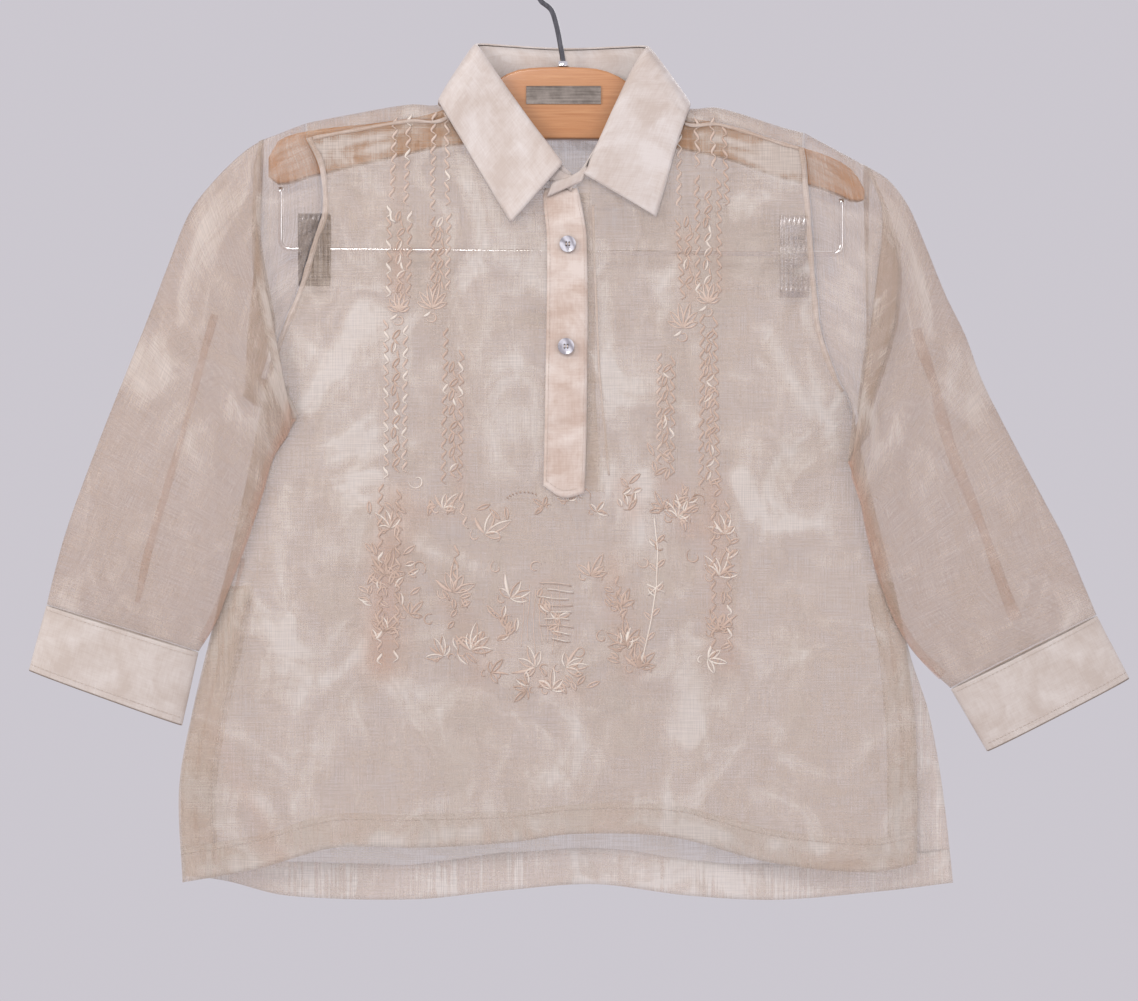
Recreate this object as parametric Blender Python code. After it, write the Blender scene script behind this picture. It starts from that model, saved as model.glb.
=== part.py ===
"""A sheer barong tagalog shirt hanging on a wooden clip hanger.

The shirt hangs flat: X runs across it, Z is up, and its front faces -Y. The origin is the seat
of the hook, the highest point inside its arc, where a rail carries it. All tables are in
millimetres. Every cloth piece is a wall: an open sheet of quads with a Solidify modifier. Two
depth functions, one for the front and one for the back, say how far each panel stands from the
hanger's plane, and whatever lies on a panel is made from the same function, moved out or in.
"""

import math
from collections import namedtuple

import bmesh
import bpy
from mathutils import Vector

MM = 0.001
GAP = 0.35
SHEER_WALL = 1.0
STIFF_WALL = 1.3
CUFF_WALL = 1.6

SEAM_DROP = 12.0
SHOULDER_DEPTH = 10.0
SIDE_DEPTH = 1.35
SLIT_DEPTH = 4.2
SLIT_SPREAD_FROM = -425.0
SLIT_SPREAD_TO = -470.0
SIDE_ROUND = 90.0
ARMHOLE_RISE = 65.0
NECK_HALF = 64.0
NECK_FRONT_Z = -166.0
NECK_BACK_Z = -88.0
SHOULDER_COLUMNS = 7
NECK_COLUMNS = 12
PANEL_COLUMNS = 2 * SHOULDER_COLUMNS + NECK_COLUMNS
PANEL_ROWS = 18
OPENING_COLUMN = 12
WRAP_STEPS = 5

HANGER_DEPTH = 12.0
WIRE = 1.9
HOOK_RADIUS = 20.0
HOOK_STEPS = 20
HOOK_FROM = 222
HOOK_TO = -28
BEND_RADIUS = 7.0
BEND_STEPS = 5
CLIP_SHEET = 1.2

At = namedtuple("At", "x z")
Edge = namedtuple("Edge", "z left right")
Depth = namedtuple("Depth", "z front back")
Fold = namedtuple("Fold", "x1 z1 x2 z2 width depth")
Ring = namedtuple("Ring", "outer_x outer_z inner_x inner_z front back lean")
Arm = namedtuple("Arm", "sign underarm_z tuck fold rings cuff fold_from fold_full")
Around = namedtuple("Around", "turn x z")
Wood = namedtuple("Wood", "x top bottom")
Clip = namedtuple("Clip", "side x width top foot")

FRONT_EDGES = (
    Edge(-125, -188, 172),
    Edge(-132, -185, 173),
    Edge(-148, -177, 175.5),
    Edge(-166, -174, 177),
    Edge(-186, -174, 179),
    Edge(-203, -180, 180),
    Edge(-240, -191, 183),
    Edge(-272, -204, 187),
    Edge(-305, -215, 199),
    Edge(-320, -217.5, 207),
    Edge(-400, -234, 226),
    Edge(-470, -250, 243),
    Edge(-545, -268, 254),
    Edge(-600, -277.5, 256),
    Edge(-669, -275, 255.6),
)
BACK_EDGES = FRONT_EDGES[:11] + (
    Edge(-505, -258, 252),
    Edge(-545, -268, 265),
    Edge(-600, -277, 275),
    Edge(-680, -274, 284),
)
RIDGE = (
    At(-232, -141),
    At(-218, -130),
    At(-195, -121),
    At(-147, -111),
    At(-110, -105),
    At(-91, -105.5),
    At(-78, -99.5),
    At(-64, -92.5),
    At(64, -95),
    At(78, -102),
    At(92, -108),
    At(112, -107.5),
    At(160, -122),
    At(194, -132),
    At(219, -149.5),
    At(236, -160),
)
FRONT_HEM = (
    At(-275, -668),
    At(-220, -657.5),
    At(-165, -642),
    At(-100, -642),
    At(-40, -638.5),
    At(8, -632),
    At(79, -634.5),
    At(150, -653),
    At(222, -660),
    At(256, -654.5),
)
BACK_HEM = (
    At(-274, -664),
    At(-245, -668),
    At(-201, -679),
    At(-110, -682),
    At(-40, -675),
    At(24, -671),
    At(90, -679),
    At(156, -682),
    At(232, -676),
    At(284, -669),
)
CORE_DEPTH = (
    Depth(-90, 11, 11),
    Depth(-130, 13, 12),
    Depth(-170, 18, 14),
    Depth(-260, 19, 14.5),
    Depth(-420, 18, 14),
    Depth(-560, 15, 12),
    Depth(-682, 12, 9),
)
FRONT_FOLDS = (
    Fold(-182, -300, -120, -352, 11, 2.2),
    Fold(-190, -322, -135, -392, 12, -1.8),
    Fold(178, -300, 128, -384, 12, 2.4),
    Fold(190, -345, 150, -372, 9, -1.6),
    Fold(-62, -215, -58, -330, 17, 2.0),
    Fold(30, -230, 48, -352, 13, -1.8),
    Fold(140, -198, 178, -268, 13, 2.0),
    Fold(-96, -560, -104, -650, 15, 1.6),
    Fold(74, -520, 76, -640, 10, -2.2),
    Fold(150, -352, 185, -346, 8, 1.4),
    Fold(98, -430, 132, -560, 18, 1.6),
    Fold(-205, -560, -214, -668, 15, -2.0),
)
BACK_FOLDS = (
    Fold(-150, -180, -60, -330, 20, 2.4),
    Fold(150, -190, 70, -360, 22, 2.2),
    Fold(-190, -330, -130, -420, 14, -1.8),
    Fold(185, -340, 120, -430, 14, 2.0),
    Fold(-70, -420, -90, -670, 24, 2.6),
    Fold(30, -360, 44, -660, 20, -2.2),
    Fold(160, -470, 190, -670, 22, 2.4),
    Fold(-190, -520, -222, -668, 18, -2.0),
)

LEFT_ARM = Arm(
    sign=-1,
    underarm_z=-305,
    tuck=At(-226, -316),
    fold=(
        At(-218, -131),
        At(-217, -166),
        At(-217.5, -222),
        At(-214.5, -248),
        At(-210, -272),
        At(-201.5, -305),
        At(-191.5, -329),
    ),
    rings=(
        Ring(-232, -140.5, -194, -337.5, 12, 10, 12),
        Ring(-253, -161, -196, -341, 12, 10, 12),
        Ring(-271, -185, -199, -347, 11.5, 10, 10.5),
        Ring(-286, -222, -204, -354, 11, 10, 10.5),
        Ring(-300, -259, -209.5, -365, 10.5, 10, 10.5),
        Ring(-316, -299, -216, -387, 10, 10, 10),
        Ring(-337, -352, -225.4, -415.4, 9.5, 10, 9),
        Ring(-357, -406, -240.5, -456.5, 9.5, 9, 8),
        Ring(-367, -440, -250, -480, 9, 9, 7),
        Ring(-373.6, -467.2, -263, -501, 9, 8.5, 6),
    ),
    cuff=(
        Ring(-373.8, -467.8, -263.2, -501.7, 8.6, 8.2, 6),
        Ring(-378, -483, -267, -519, 8.8, 8.4, 6),
        Ring(-382.5, -499.5, -271, -537, 8.6, 8.4, 6),
        Ring(-386.6, -514.8, -275, -554.4, 8.2, 8.2, 6),
    ),
    fold_from=0.0,
    fold_full=0.1,
)
RIGHT_ARM = Arm(
    sign=1,
    underarm_z=-320,
    tuck=At(219.5, -337),
    fold=(
        At(219, -149.6),
        At(229, -176),
        At(238, -207),
        At(236.5, -237),
        At(234, -264),
        At(229, -284),
        At(219, -319),
        At(213, -343.5),
        At(205.2, -360.7),
    ),
    rings=(
        Ring(235.5, -160, 207, -368.5, 12, 10, 12),
        Ring(250, -179, 208, -373, 12, 10, 12),
        Ring(262, -206.6, 209.5, -379, 11.5, 10, 10.5),
        Ring(277, -243.4, 212, -387, 11, 10, 10.5),
        Ring(291, -272, 214.5, -396, 10.5, 10, 10.5),
        Ring(302.4, -303, 217, -408, 10, 10, 10),
        Ring(318, -335, 220.5, -424, 9.5, 10, 9),
        Ring(348, -391.7, 229.5, -456, 9.5, 9, 8),
        Ring(363, -420, 239.5, -481, 9, 9, 7),
        Ring(376, -450.7, 255, -504, 9, 9, 6),
        Ring(386, -474.6, 279.6, -527.4, 9, 8.5, 6),
    ),
    cuff=(
        Ring(386.4, -475.4, 279.9, -528.3, 8.6, 8.2, 6),
        Ring(394, -490.4, 288.5, -543, 8.8, 8.4, 6),
        Ring(402, -505.5, 297.2, -558, 8.6, 8.4, 6),
        Ring(409.7, -520.6, 306, -573.1, 8.2, 8.2, 6),
    ),
    fold_from=0.22,
    fold_full=0.4,
)
RING_SHARES = (0, 0.015, 0.045, 0.09, 0.16, 0.27, 0.4, 0.53, 0.66, 0.78, 0.88, 0.955, 1)

COLLAR_FOLD = (
    Around(-0.12, 6, -157.5),
    Around(0, -0.5, -151.5),
    Around(0.2, -10, -139),
    Around(0.4, -22, -123),
    Around(0.68, -37, -102),
    Around(0.88, -51.5, -80.5),
    Around(1.1, -59.5, -68.5),
    Around(1.5, -62.5, -64),
    Around(1.9, -60.5, -61.5),
    Around(2.3, -46, -62.2),
    Around(3, 0, -64.8),
    Around(3.7, 44, -63.4),
    Around(4.1, 58, -63),
    Around(4.5, 60.5, -65.5),
    Around(4.9, 57.5, -71),
    Around(5.12, 49.5, -84),
    Around(5.32, 38.5, -107),
    Around(5.6, 26.5, -132.5),
    Around(5.8, 19, -147),
    Around(6, 13, -157),
    Around(6.12, -4, -159.5),
)
COLLAR_RIM = (
    Around(0, -37.4, -193),
    Around(0.2, -43.5, -183),
    Around(0.4, -54, -165),
    Around(0.68, -69, -139.5),
    Around(0.88, -81, -119.5),
    Around(1.2, -88.5, -107),
    Around(1.5, -90.5, -103.2),
    Around(1.9, -88, -106),
    Around(2.3, -62, -112),
    Around(3, 0, -114),
    Around(3.7, 62, -113),
    Around(4.1, 88, -109),
    Around(4.5, 92.2, -105.6),
    Around(4.8, 91, -110),
    Around(5.12, 87, -121),
    Around(5.32, 80.5, -141),
    Around(5.6, 73.5, -166),
    Around(5.8, 69, -182),
    Around(6, 67, -188.6),
)

WOOD = (
    Wood(-213, -144, -158),
    Wood(-205, -131.5, -163.5),
    Wood(-181, -124.5, -157.5),
    Wood(-126, -118, -144.5),
    Wood(-92, -111.5, -137),
    Wood(-62, -98, -133),
    Wood(-42, -84.5, -131.5),
    Wood(-26, -79.6, -131),
    Wood(21, -79.6, -131),
    Wood(39, -85, -132),
    Wood(62, -100, -134),
    Wood(92, -115, -139),
    Wood(117, -120, -144.5),
    Wood(153, -131, -157),
    Wood(194, -144, -169),
    Wood(210, -154, -176),
    Wood(218, -167, -175),
)
CLIPS = (
    Clip("left", -180.0, 23.0, 25.5, 26.5),
    Clip("right", 167.4, 21.0, 27.5, 31.5),
)
BAR_LEFT = At(-204.5, -210.0)
BAR_RIGHT = At(201.6, -213.8)

PLACKET = (
    Edge(-171, -14.5, 11.5),
    Edge(-205, -11.5, 17),
    Edge(-330, -13, 17),
    Edge(-392, -14.4, 15.2),
)
PLACKET_FOOT = (At(0.0, -381.5), At(0.48, -390), At(1.0, -387))
UNDERLAP = (
    Edge(-171, -8, 19),
    Edge(-205, -6, 22),
    Edge(-330, -7, 24),
    Edge(-392, -8, 30),
)
UNDERLAP_FOOT = (At(0.0, -384), At(1.0, -386))
PLACKET_ROWS = 16
PLACKET_COLUMNS = 3
OPENING_FOOT_Z = -366.0
SLIT_TOP_ROW = 7

FRONT_OUT = (0, -1, 0)
BACK_OUT = (0, 1, 0)
UNDERARM_TURN = ((0.7, 0.95, 1.2), (1.5, 0.6, 2.6), (2.2, 0.0, 3.6))
RECESS_DEPTH = 11.5
BACK_RECESS = 10.5
FOLD_DEPTH = 15.0
FOLD_OVER_DEPTH = 18.5
FOLD_OVER_OUT = 3.5
FOLD_UNDER_OUT = 4.0
FOLD_CALM = 0.2
TUCK_SHARE = 0.86
OUTER_LEAN = 1.5
BODY_CLEARANCE = 2.3
LEAF_CLEARANCE = 3.0
LEAF_LEAN = 1.5
LEAF_STEPS = 36
LEAF_SHARES = (0.12, 0.32, 0.55, 0.78, 1.0)
END_LAP = 1.9

BUTTONS = (At(3.4, -208.1), At(2.2, -281.5))
BUTTON_RADIUS = 5.9
BUTTON_THICK = 2.2


def smoothstep(value):
    value = min(1.0, max(0.0, value))
    return value * value * (3 - 2 * value)


def read(rows, key, field, at):
    """The value of a table's field at a key, on one smooth curve through its rows."""
    keys = [getattr(row, key) for row in rows]
    values = [getattr(row, field) for row in rows]
    if keys[0] > keys[-1]:
        keys.reverse()
        values.reverse()
    if at <= keys[0]:
        return values[0]
    if at >= keys[-1]:
        return values[-1]
    high = next(i for i, k in enumerate(keys) if k > at)
    low = high - 1
    slopes = []
    for i in (low, high):
        before, after = max(i - 1, 0), min(i + 1, len(keys) - 1)
        slopes.append((values[after] - values[before]) / (keys[after] - keys[before]))
    span = keys[high] - keys[low]
    t = (at - keys[low]) / span
    return (
        (1 + 2 * t) * (1 - t) ** 2 * values[low]
        + t * (1 - t) ** 2 * span * slopes[0]
        + t * t * (3 - 2 * t) * values[high]
        + t * t * (t - 1) * span * slopes[1]
    )


def ridge(x):
    return read(RIDGE, "x", "z", x)


def neck_front(x):
    return NECK_FRONT_Z + (ridge(NECK_HALF) - SEAM_DROP - NECK_FRONT_Z) * (abs(x) / NECK_HALF) ** 1.2


def neck_back(x):
    dip = smoothstep((abs(x) - 40) / (NECK_HALF - 40))
    return NECK_BACK_Z + (ridge(x) - SEAM_DROP - NECK_BACK_Z) * dip


def fold_height(folds, x, z):
    """The sum of the soft troughs and ridges at a point: each fades towards both of its ends."""
    total = 0.0
    for fold in folds:
        along_x, along_z = fold.x2 - fold.x1, fold.z2 - fold.z1
        length = math.hypot(along_x, along_z)
        t = ((x - fold.x1) * along_x + (z - fold.z1) * along_z) / length**2
        off = ((x - fold.x1) * along_z - (z - fold.z1) * along_x) / length
        if -0.2 < t < 1.2:
            reach = math.sin(math.pi * (t + 0.2) / 1.4) ** 2
            total += fold.depth * reach * math.exp(-((off / fold.width) ** 2))
    return total


def panel_depth(x, z, edges, field, folds):
    """How far a panel's outer face stands from the hanger's plane, along Y."""
    core = read(CORE_DEPTH, "z", field, z)
    spread = smoothstep((SLIT_SPREAD_FROM - z) / (SLIT_SPREAD_FROM - SLIT_SPREAD_TO))
    side_depth = SIDE_DEPTH + (SLIT_DEPTH - SIDE_DEPTH) * spread
    body = core
    for side, underarm in ((-1, LEFT_ARM.underarm_z), (1, RIGHT_ARM.underarm_z)):
        rim_x = read(edges, "z", "left" if side < 0 else "right", z)
        inside = max(0.0, side * (rim_x - x) / SIDE_ROUND)
        rise = smoothstep((z - underarm + 25) / ARMHOLE_RISE)
        rim = side_depth + (SHOULDER_DEPTH - 0.5 - side_depth) * rise
        body = min(body, rim + (core - rim) * (1 - (1 - min(1.0, inside)) ** 2))
    below = smoothstep((ridge(x) - SEAM_DROP - z) / 60)
    hem_wave = 1.6 * math.sin(x / 31.0) * smoothstep((-560 - z) / 100)
    edge_calm = smoothstep((body - side_depth) / 7)
    waves = (fold_height(folds, x, z) + hem_wave) * below * edge_calm
    depth = SHOULDER_DEPTH + (body - SHOULDER_DEPTH) * below + waves
    return max(side_depth, depth)


def front_y(x, z, out=0.0):
    return -panel_depth(x, z, FRONT_EDGES, "front", FRONT_FOLDS) - out


def back_y(x, z, out=0.0):
    return panel_depth(x, z, BACK_EDGES, "back", BACK_FOLDS) + out


def material(name, colour, roughness, metallic=0.0):
    made = bpy.data.materials.new(name)
    made.use_nodes = True
    shader = made.node_tree.nodes["Principled BSDF"]
    shader.inputs["Base Color"].default_value = (*colour, 1.0)
    shader.inputs["Roughness"].default_value = roughness
    shader.inputs["Metallic"].default_value = metallic
    return made


def finish(name, mesh, look, smooth=True):
    made = bpy.data.objects.new(name, mesh)
    bpy.context.scene.collection.objects.link(made)
    mesh.materials.append(look)
    if smooth:
        mesh.shade_smooth()
        mesh.set_sharp_from_angle(angle=math.radians(40))
    return made


def grid_mesh(name, rows, closed=False, skip=None):
    """A sheet of quads through rows of points in millimetres, with unused points left out."""
    mesh = bpy.data.meshes.new(name)
    bm = bmesh.new()
    made = [[bm.verts.new(Vector(point) * MM) for point in row] for row in rows]
    count = len(rows[0])
    for i in range(len(rows) - 1):
        for j in range(count if closed else count - 1):
            if skip and skip(i, j):
                continue
            k = (j + 1) % count
            bm.faces.new((made[i][j], made[i][k], made[i + 1][k], made[i + 1][j]))
    bmesh.ops.delete(bm, geom=[v for v in bm.verts if not v.link_faces], context="VERTS")
    bm.to_mesh(mesh)
    bm.free()
    return mesh


def face_out(mesh, rows, out):
    """Turns the sheet's faces to the given side or, with none given, away from the rows' middles."""
    bm = bmesh.new()
    bm.from_mesh(mesh)
    bm.normal_update()
    total = 0.0
    if out:
        total = sum(face.normal.dot(Vector(out)) * face.calc_area() for face in bm.faces)
    else:
        middle = Vector((0, 0, 0))
        for row in rows:
            middle += sum((Vector(point) for point in row), Vector((0, 0, 0))) * MM / (len(row) * len(rows))
        for face in bm.faces:
            spot = face.calc_center_median()
            nearest = min(rows, key=lambda row: (row_middle(row) - spot).length)
            total += face.normal.dot(spot - row_middle(nearest)) * face.calc_area()
    if total < 0:
        bmesh.ops.reverse_faces(bm, faces=bm.faces)
    bm.to_mesh(mesh)
    bm.free()


def row_middle(row):
    return sum((Vector(point) for point in row), Vector((0, 0, 0))) * MM / len(row)


def cloth(name, rows, look, out, wall=SHEER_WALL, closed=False, skip=None):
    """A cloth wall: its sheet is the outer face, and the wall's thickness goes inwards."""
    mesh = grid_mesh(name, rows, closed, skip)
    face_out(mesh, rows, out)
    made = finish(name, mesh, look)
    solid = made.modifiers.new("wall", "SOLIDIFY")
    solid.thickness = wall * MM
    solid.offset = -1.0
    return made


def section_solid(name, sections, look):
    """A solid lofted through closed sections of as many points each, with flat ends."""
    mesh = bpy.data.meshes.new(name)
    bm = bmesh.new()
    made = [[bm.verts.new(Vector(point) * MM) for point in section] for section in sections]
    count = len(sections[0])
    for i in range(len(sections) - 1):
        for j in range(count):
            k = (j + 1) % count
            bm.faces.new((made[i][j], made[i][k], made[i + 1][k], made[i + 1][j]))
    bm.faces.new(made[0])
    bm.faces.new(made[-1])
    bmesh.ops.recalc_face_normals(bm, faces=bm.faces)
    bm.to_mesh(mesh)
    bm.free()
    return finish(name, mesh, look)


def wire(name, points, radius, look, resolution=3):
    curve = bpy.data.curves.new(name, "CURVE")
    curve.dimensions = "3D"
    curve.bevel_depth = radius * MM
    curve.bevel_resolution = resolution
    curve.use_fill_caps = True
    spline = curve.splines.new("POLY")
    spline.points.add(len(points) - 1)
    for spot, (x, y, z) in zip(spline.points, points):
        spot.co = (x * MM, y * MM, z * MM, 1.0)
    curve.materials.append(look)
    made = bpy.data.objects.new(name, curve)
    bpy.context.scene.collection.objects.link(made)
    return made


def column_shares(left, right):
    """Where the columns stand across the top of a panel, so that one meets each neck point."""
    stops = [(left, -NECK_HALF, SHOULDER_COLUMNS), (-NECK_HALF, NECK_HALF, NECK_COLUMNS)]
    stops.append((NECK_HALF, right, SHOULDER_COLUMNS))
    places = [a + (b - a) * k / count for a, b, count in stops for k in range(count)] + [right]
    return [(x - left) / (right - left) for x in places]


def panel_rows(edges, hem, top, side_y):
    """Rows of points from the hem to the top line, between a panel's two side edges."""
    made = []
    lows = [read(edges, "z", side, read(hem, "x", "z", x)) for side, x in (("left", -275), ("right", 256))]
    highs = [read(edges, "z", side, top(x)) for side, x in (("left", -185), ("right", 174))]
    for row in range(PANEL_ROWS + 1):
        rise = row / PANEL_ROWS
        line = []
        for share in column_shares(*highs):
            low_x = lows[0] + (lows[1] - lows[0]) * share
            high_x = highs[0] + (highs[1] - highs[0]) * share
            low, high = read(hem, "x", "z", low_x), top(high_x)
            ends = [read(hem, "x", "z", lows[i]) * (1 - rise) + top(highs[i]) * rise for i in (0, 1)]
            left = read(edges, "z", "left", ends[0])
            right = read(edges, "z", "right", ends[1])
            x = left + (right - left) * share
            z = low + (high - low) * rise
            line.append((x, side_y(x, z), z))
        made.append(line)
    return made


def front_top(x):
    seam = ridge(x) - SEAM_DROP
    return neck_front(x) if abs(x) < NECK_HALF else seam


def back_top(x):
    seam = ridge(x) - SEAM_DROP
    return neck_back(x) if abs(x) < NECK_HALF else seam


def build_front(rows, look):
    """The front: the half opening under the placket is one column of cells left out."""

    def in_opening(i, j):
        return j == OPENING_COLUMN and rows[i][j][2] > OPENING_FOOT_Z

    return cloth("front", rows, look, FRONT_OUT, skip=in_opening)


def build_back(rows, look):
    """The back rises over each shoulder and comes down the front to the shoulder seam."""
    seam_row = rows[-1]
    wrapped = list(rows)
    for step in range(1, WRAP_STEPS + 1):
        angle = math.pi * step / WRAP_STEPS
        rise = (SEAM_DROP - GAP) * math.sin(angle) + GAP * step / WRAP_STEPS
        wrapped.append([(x, y * math.cos(angle), z + rise) for x, y, z in seam_row])
    over_neck = [abs(point[0]) < NECK_HALF - 1 for point in seam_row]

    def in_neck(i, j):
        return i >= PANEL_ROWS and (over_neck[j] or over_neck[j + 1])

    return cloth("back", wrapped, look, BACK_OUT, skip=in_neck)


def band(name, rows, first, last, columns, inwards, look, out):
    """A turned band on a panel's inner side, made from the panel's own points."""
    made = []
    for i in range(first, last + 1):
        line = []
        for j in columns:
            x, y, z = rows[i][j]
            if i == first and first > 0:
                z += (rows[i + 1][j][2] - z) * 0.03
            line.append((x, y + inwards, z))
        made.append(line)
    return cloth(name, made, look, out)


def faceted(rows):
    """The panel's depth at a point, read from its own flat cells."""

    def at(x, z):
        heights = []
        for row in rows:
            j = next((k for k in range(1, len(row) - 1) if row[k][0] >= x), len(row) - 1)
            (x1, y1, z1), (x2, y2, z2) = row[j - 1], row[j]
            t = (x - x1) / (x2 - x1)
            heights.append((z1 + (z2 - z1) * t, y1 + (y2 - y1) * t))
        i = next((k for k in range(1, len(heights) - 1) if heights[k][0] >= z), len(heights) - 1)
        (z1, y1), (z2, y2) = heights[i - 1], heights[i]
        return y1 + (y2 - y1) * (z - z1) / (z2 - z1)

    return at


def build_placket(name, at, shift, table, foot, look, wall):
    """A strip down the front's opening, moved out of the panel or in from it, with a cut foot."""
    rows = []
    for row in range(PLACKET_ROWS + 1):
        share = row / PLACKET_ROWS
        line = []
        for column in range(PLACKET_COLUMNS + 1):
            across = column / PLACKET_COLUMNS
            foot_z = read(foot, "x", "z", across)
            z = foot_z + (table[0].z - foot_z) * share
            left = read(table, "z", "left", z)
            x = left + (read(table, "z", "right", z) - left) * across
            line.append((x, at(x, z) + shift, z))
        rows.append(line)
    return cloth(name, rows, look, FRONT_OUT, wall)


def along(points, share):
    """The point at a share of a polyline's length."""
    lengths = [math.dist(a, b) for a, b in zip(points, points[1:])]
    left = share * sum(lengths)
    for a, b, length in zip(points, points[1:], lengths):
        if left <= length:
            return tuple(p + (q - p) * left / length for p, q in zip(a, b))
        left -= length
    return tuple(points[-1])


def bulge(share):
    return math.sqrt(max(0.0, 1 - abs(2 * share - 1) ** 2.5))


def top_round(share):
    """Rises from nothing at a ring's outer point to one, and stays there."""
    return bulge(share) if share < 0.5 else 1.0


def clear_of_body(arm, point, share):
    """Keeps a point of the sleeve's back layer off the body. Near the sleeve's inner edge the
    layer lies in front of the body's side, then it turns round that side, and beyond it is free."""
    x, y, z = point
    rim = read(FRONT_EDGES, "z", "left" if arm.sign < 0 else "right", z)
    inside = arm.sign * (rim - x)
    if share > 0.85:
        if inside < -7:
            return point
        limit = front_y(rim if inside < 0 else x, z, BODY_CLEARANCE) + max(0.0, -inside) * 1.2
        return (x, min(y, limit), z)
    if share > 0.7:
        if inside < -5:
            return point
        return (rim + arm.sign * 4.0, min(y, front_y(rim, z, BODY_CLEARANCE)), z)
    return (rim + arm.sign * 6.0, y, z) if inside > -6 else point


def armhole_ring(arm, rows):
    """The sleeve's first ring: over the ridge, then along a panel's own cut edge, a gap outside it."""
    edge = [row[0] if arm.sign < 0 else row[-1] for row in reversed(rows)]
    edge = [point for point in edge if point[2] > arm.underarm_z - 8]
    seam_x, seam_y, seam_z = edge[0]
    path = []
    for degrees in (90, 58, 28):
        angle = math.radians(degrees)
        path.append((seam_x, seam_y * math.cos(angle), seam_z + SEAM_DROP * math.sin(angle)))
    path += edge[:-1]
    spare = len(RING_SHARES) - len(path) - 1
    for step in range(spare + 1):
        share = (step + 1) / (spare + 1)
        path.append(tuple(p + (q - p) * share for p, q in zip(edge[-2], edge[-1])))
    front = [(x + arm.sign * 1.4 * GAP, y, z) for x, y, z in path]
    x, y, z = front[-1]
    underarm = [(x + arm.sign * out, y * lean, z - drop) for out, lean, drop in UNDERARM_TURN]
    rest = RING_SHARES[1 : -1 - len(underarm)]
    back = []
    for share in reversed(rest):
        t = share / rest[-1] if share > 0.1 else share
        spot = along(front, t)
        back.append((spot[0] + arm.sign * 2 * GAP, -spot[1], spot[2]))
    return front + underarm + back


def fold_ring(arm, out, depth, drop):
    """A ring along the fold that the sleeve makes over its cap, moved outwards and forwards."""
    front = []
    for share in RING_SHARES:
        x, z = along(arm.fold, share)
        full = smoothstep((share - arm.fold_from) / (arm.fold_full - arm.fold_from + 0.01))
        end = smoothstep((share - 1 + FOLD_CALM) / FOLD_CALM)
        calm = 1 - end
        y = -(RECESS_DEPTH + (depth - RECESS_DEPTH) * full * calm + 2 * share) * top_round(share)
        front.append((x + arm.sign * out * full * calm, y, z - drop * end))
    back = []
    top = arm.fold[0]
    corner = front[-1]
    for share in RING_SHARES[-2:0:-1]:
        if share < TUCK_SHARE:
            t = share / TUCK_SHARE
            x = top.x + (arm.tuck.x + arm.sign * drop - top.x) * smoothstep(t)
            z = top.z + (arm.tuck.z - top.z) * t
            y = BACK_RECESS * math.sqrt(1 - abs(2 * t - 1) ** 3)
        else:
            t = (share - TUCK_SHARE) / (1 - TUCK_SHARE)
            x = arm.tuck.x + arm.sign * drop + (corner[0] - arm.tuck.x - arm.sign * drop) * t
            z = arm.tuck.z - drop + (corner[2] - arm.tuck.z + drop) * t
            y = (corner[1] + 2.0) * t
        back.append(clear_of_body(arm, (x, y, z), share))
    return front + back


def section_ring(arm, ring):
    """A ring across the sleeve: flat and rounded, leaning forwards at its inner edge."""
    front, back = [], []
    for share in RING_SHARES:
        x = ring.outer_x + (ring.inner_x - ring.outer_x) * share
        z = ring.outer_z + (ring.inner_z - ring.outer_z) * share
        middle = -OUTER_LEAN - (ring.lean - OUTER_LEAN) * share**1.2
        front.append((x, middle - ring.front * bulge(share), z))
        back.append(clear_of_body(arm, (x, middle + ring.back * bulge(share), z), share))
    return front + back[-2:0:-1]


def blended(first, second, share):
    return [tuple(p + (q - p) * share for p, q in zip(a, b)) for a, b in zip(first, second)]


def build_sleeve(arm, name, rows, look):
    armhole = armhole_ring(arm, rows)
    under = fold_ring(arm, FOLD_UNDER_OUT, RECESS_DEPTH + 1.0, 0.0)
    edge = fold_ring(arm, 0.0, FOLD_DEPTH, 2.0)
    over = fold_ring(arm, FOLD_OVER_OUT, FOLD_OVER_DEPTH, 4.5)
    rings = [armhole, under, edge, over]
    rings += [section_ring(arm, ring) for ring in arm.rings]
    return cloth(name, rings, look, None, closed=True)


def build_cuff(arm, name, look):
    rings = [section_ring(arm, ring) for ring in arm.cuff]
    return cloth(name, rings, look, None, CUFF_WALL, closed=True)


def through(points, steps):
    """More points on one smooth curve through the given ones."""
    made = []
    last = len(points) - 1
    for i in range(last):
        before, a, b, after = points[max(i - 1, 0)], points[i], points[i + 1], points[min(i + 2, last)]
        for step in range(steps):
            t = step / steps
            weights = (
                (-t + 2 * t**2 - t**3) / 2,
                (2 - 5 * t**2 + 3 * t**3) / 2,
                (t + 4 * t**2 - 3 * t**3) / 2,
                (t**3 - t**2) / 2,
            )
            made.append(
                tuple(sum(w * p[axis] for w, p in zip(weights, (before, a, b, after))) for axis in range(3))
            )
    made.append(tuple(points[last]))
    return made


def neck_seam(turn):
    """A point of the neck seam. The turn is 0 at the left front's middle, 1 and 2 at the left
    shoulder's front and back, 3 at the middle of the back, 4 and 5 at the right shoulder, and 6 at
    the right front's middle."""
    if turn < 1 or turn > 5:
        x = -NECK_HALF * turn if turn < 1 else NECK_HALF * (6 - turn)
        return (x, front_y(x, neck_front(x)), neck_front(x))
    if 2 < turn < 4:
        x = NECK_HALF * (turn - 3)
        return (x, back_y(x, neck_back(x)), neck_back(x))
    side = -1 if turn < 3 else 1
    angle = math.pi * (turn - 1 if turn < 3 else 5 - turn)
    x = side * (NECK_HALF - 1.5 * GAP)
    z = ridge(side * NECK_HALF) - SEAM_DROP
    return (x, -SHOULDER_DEPTH * math.cos(angle), z + SEAM_DROP * math.sin(angle))


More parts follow.
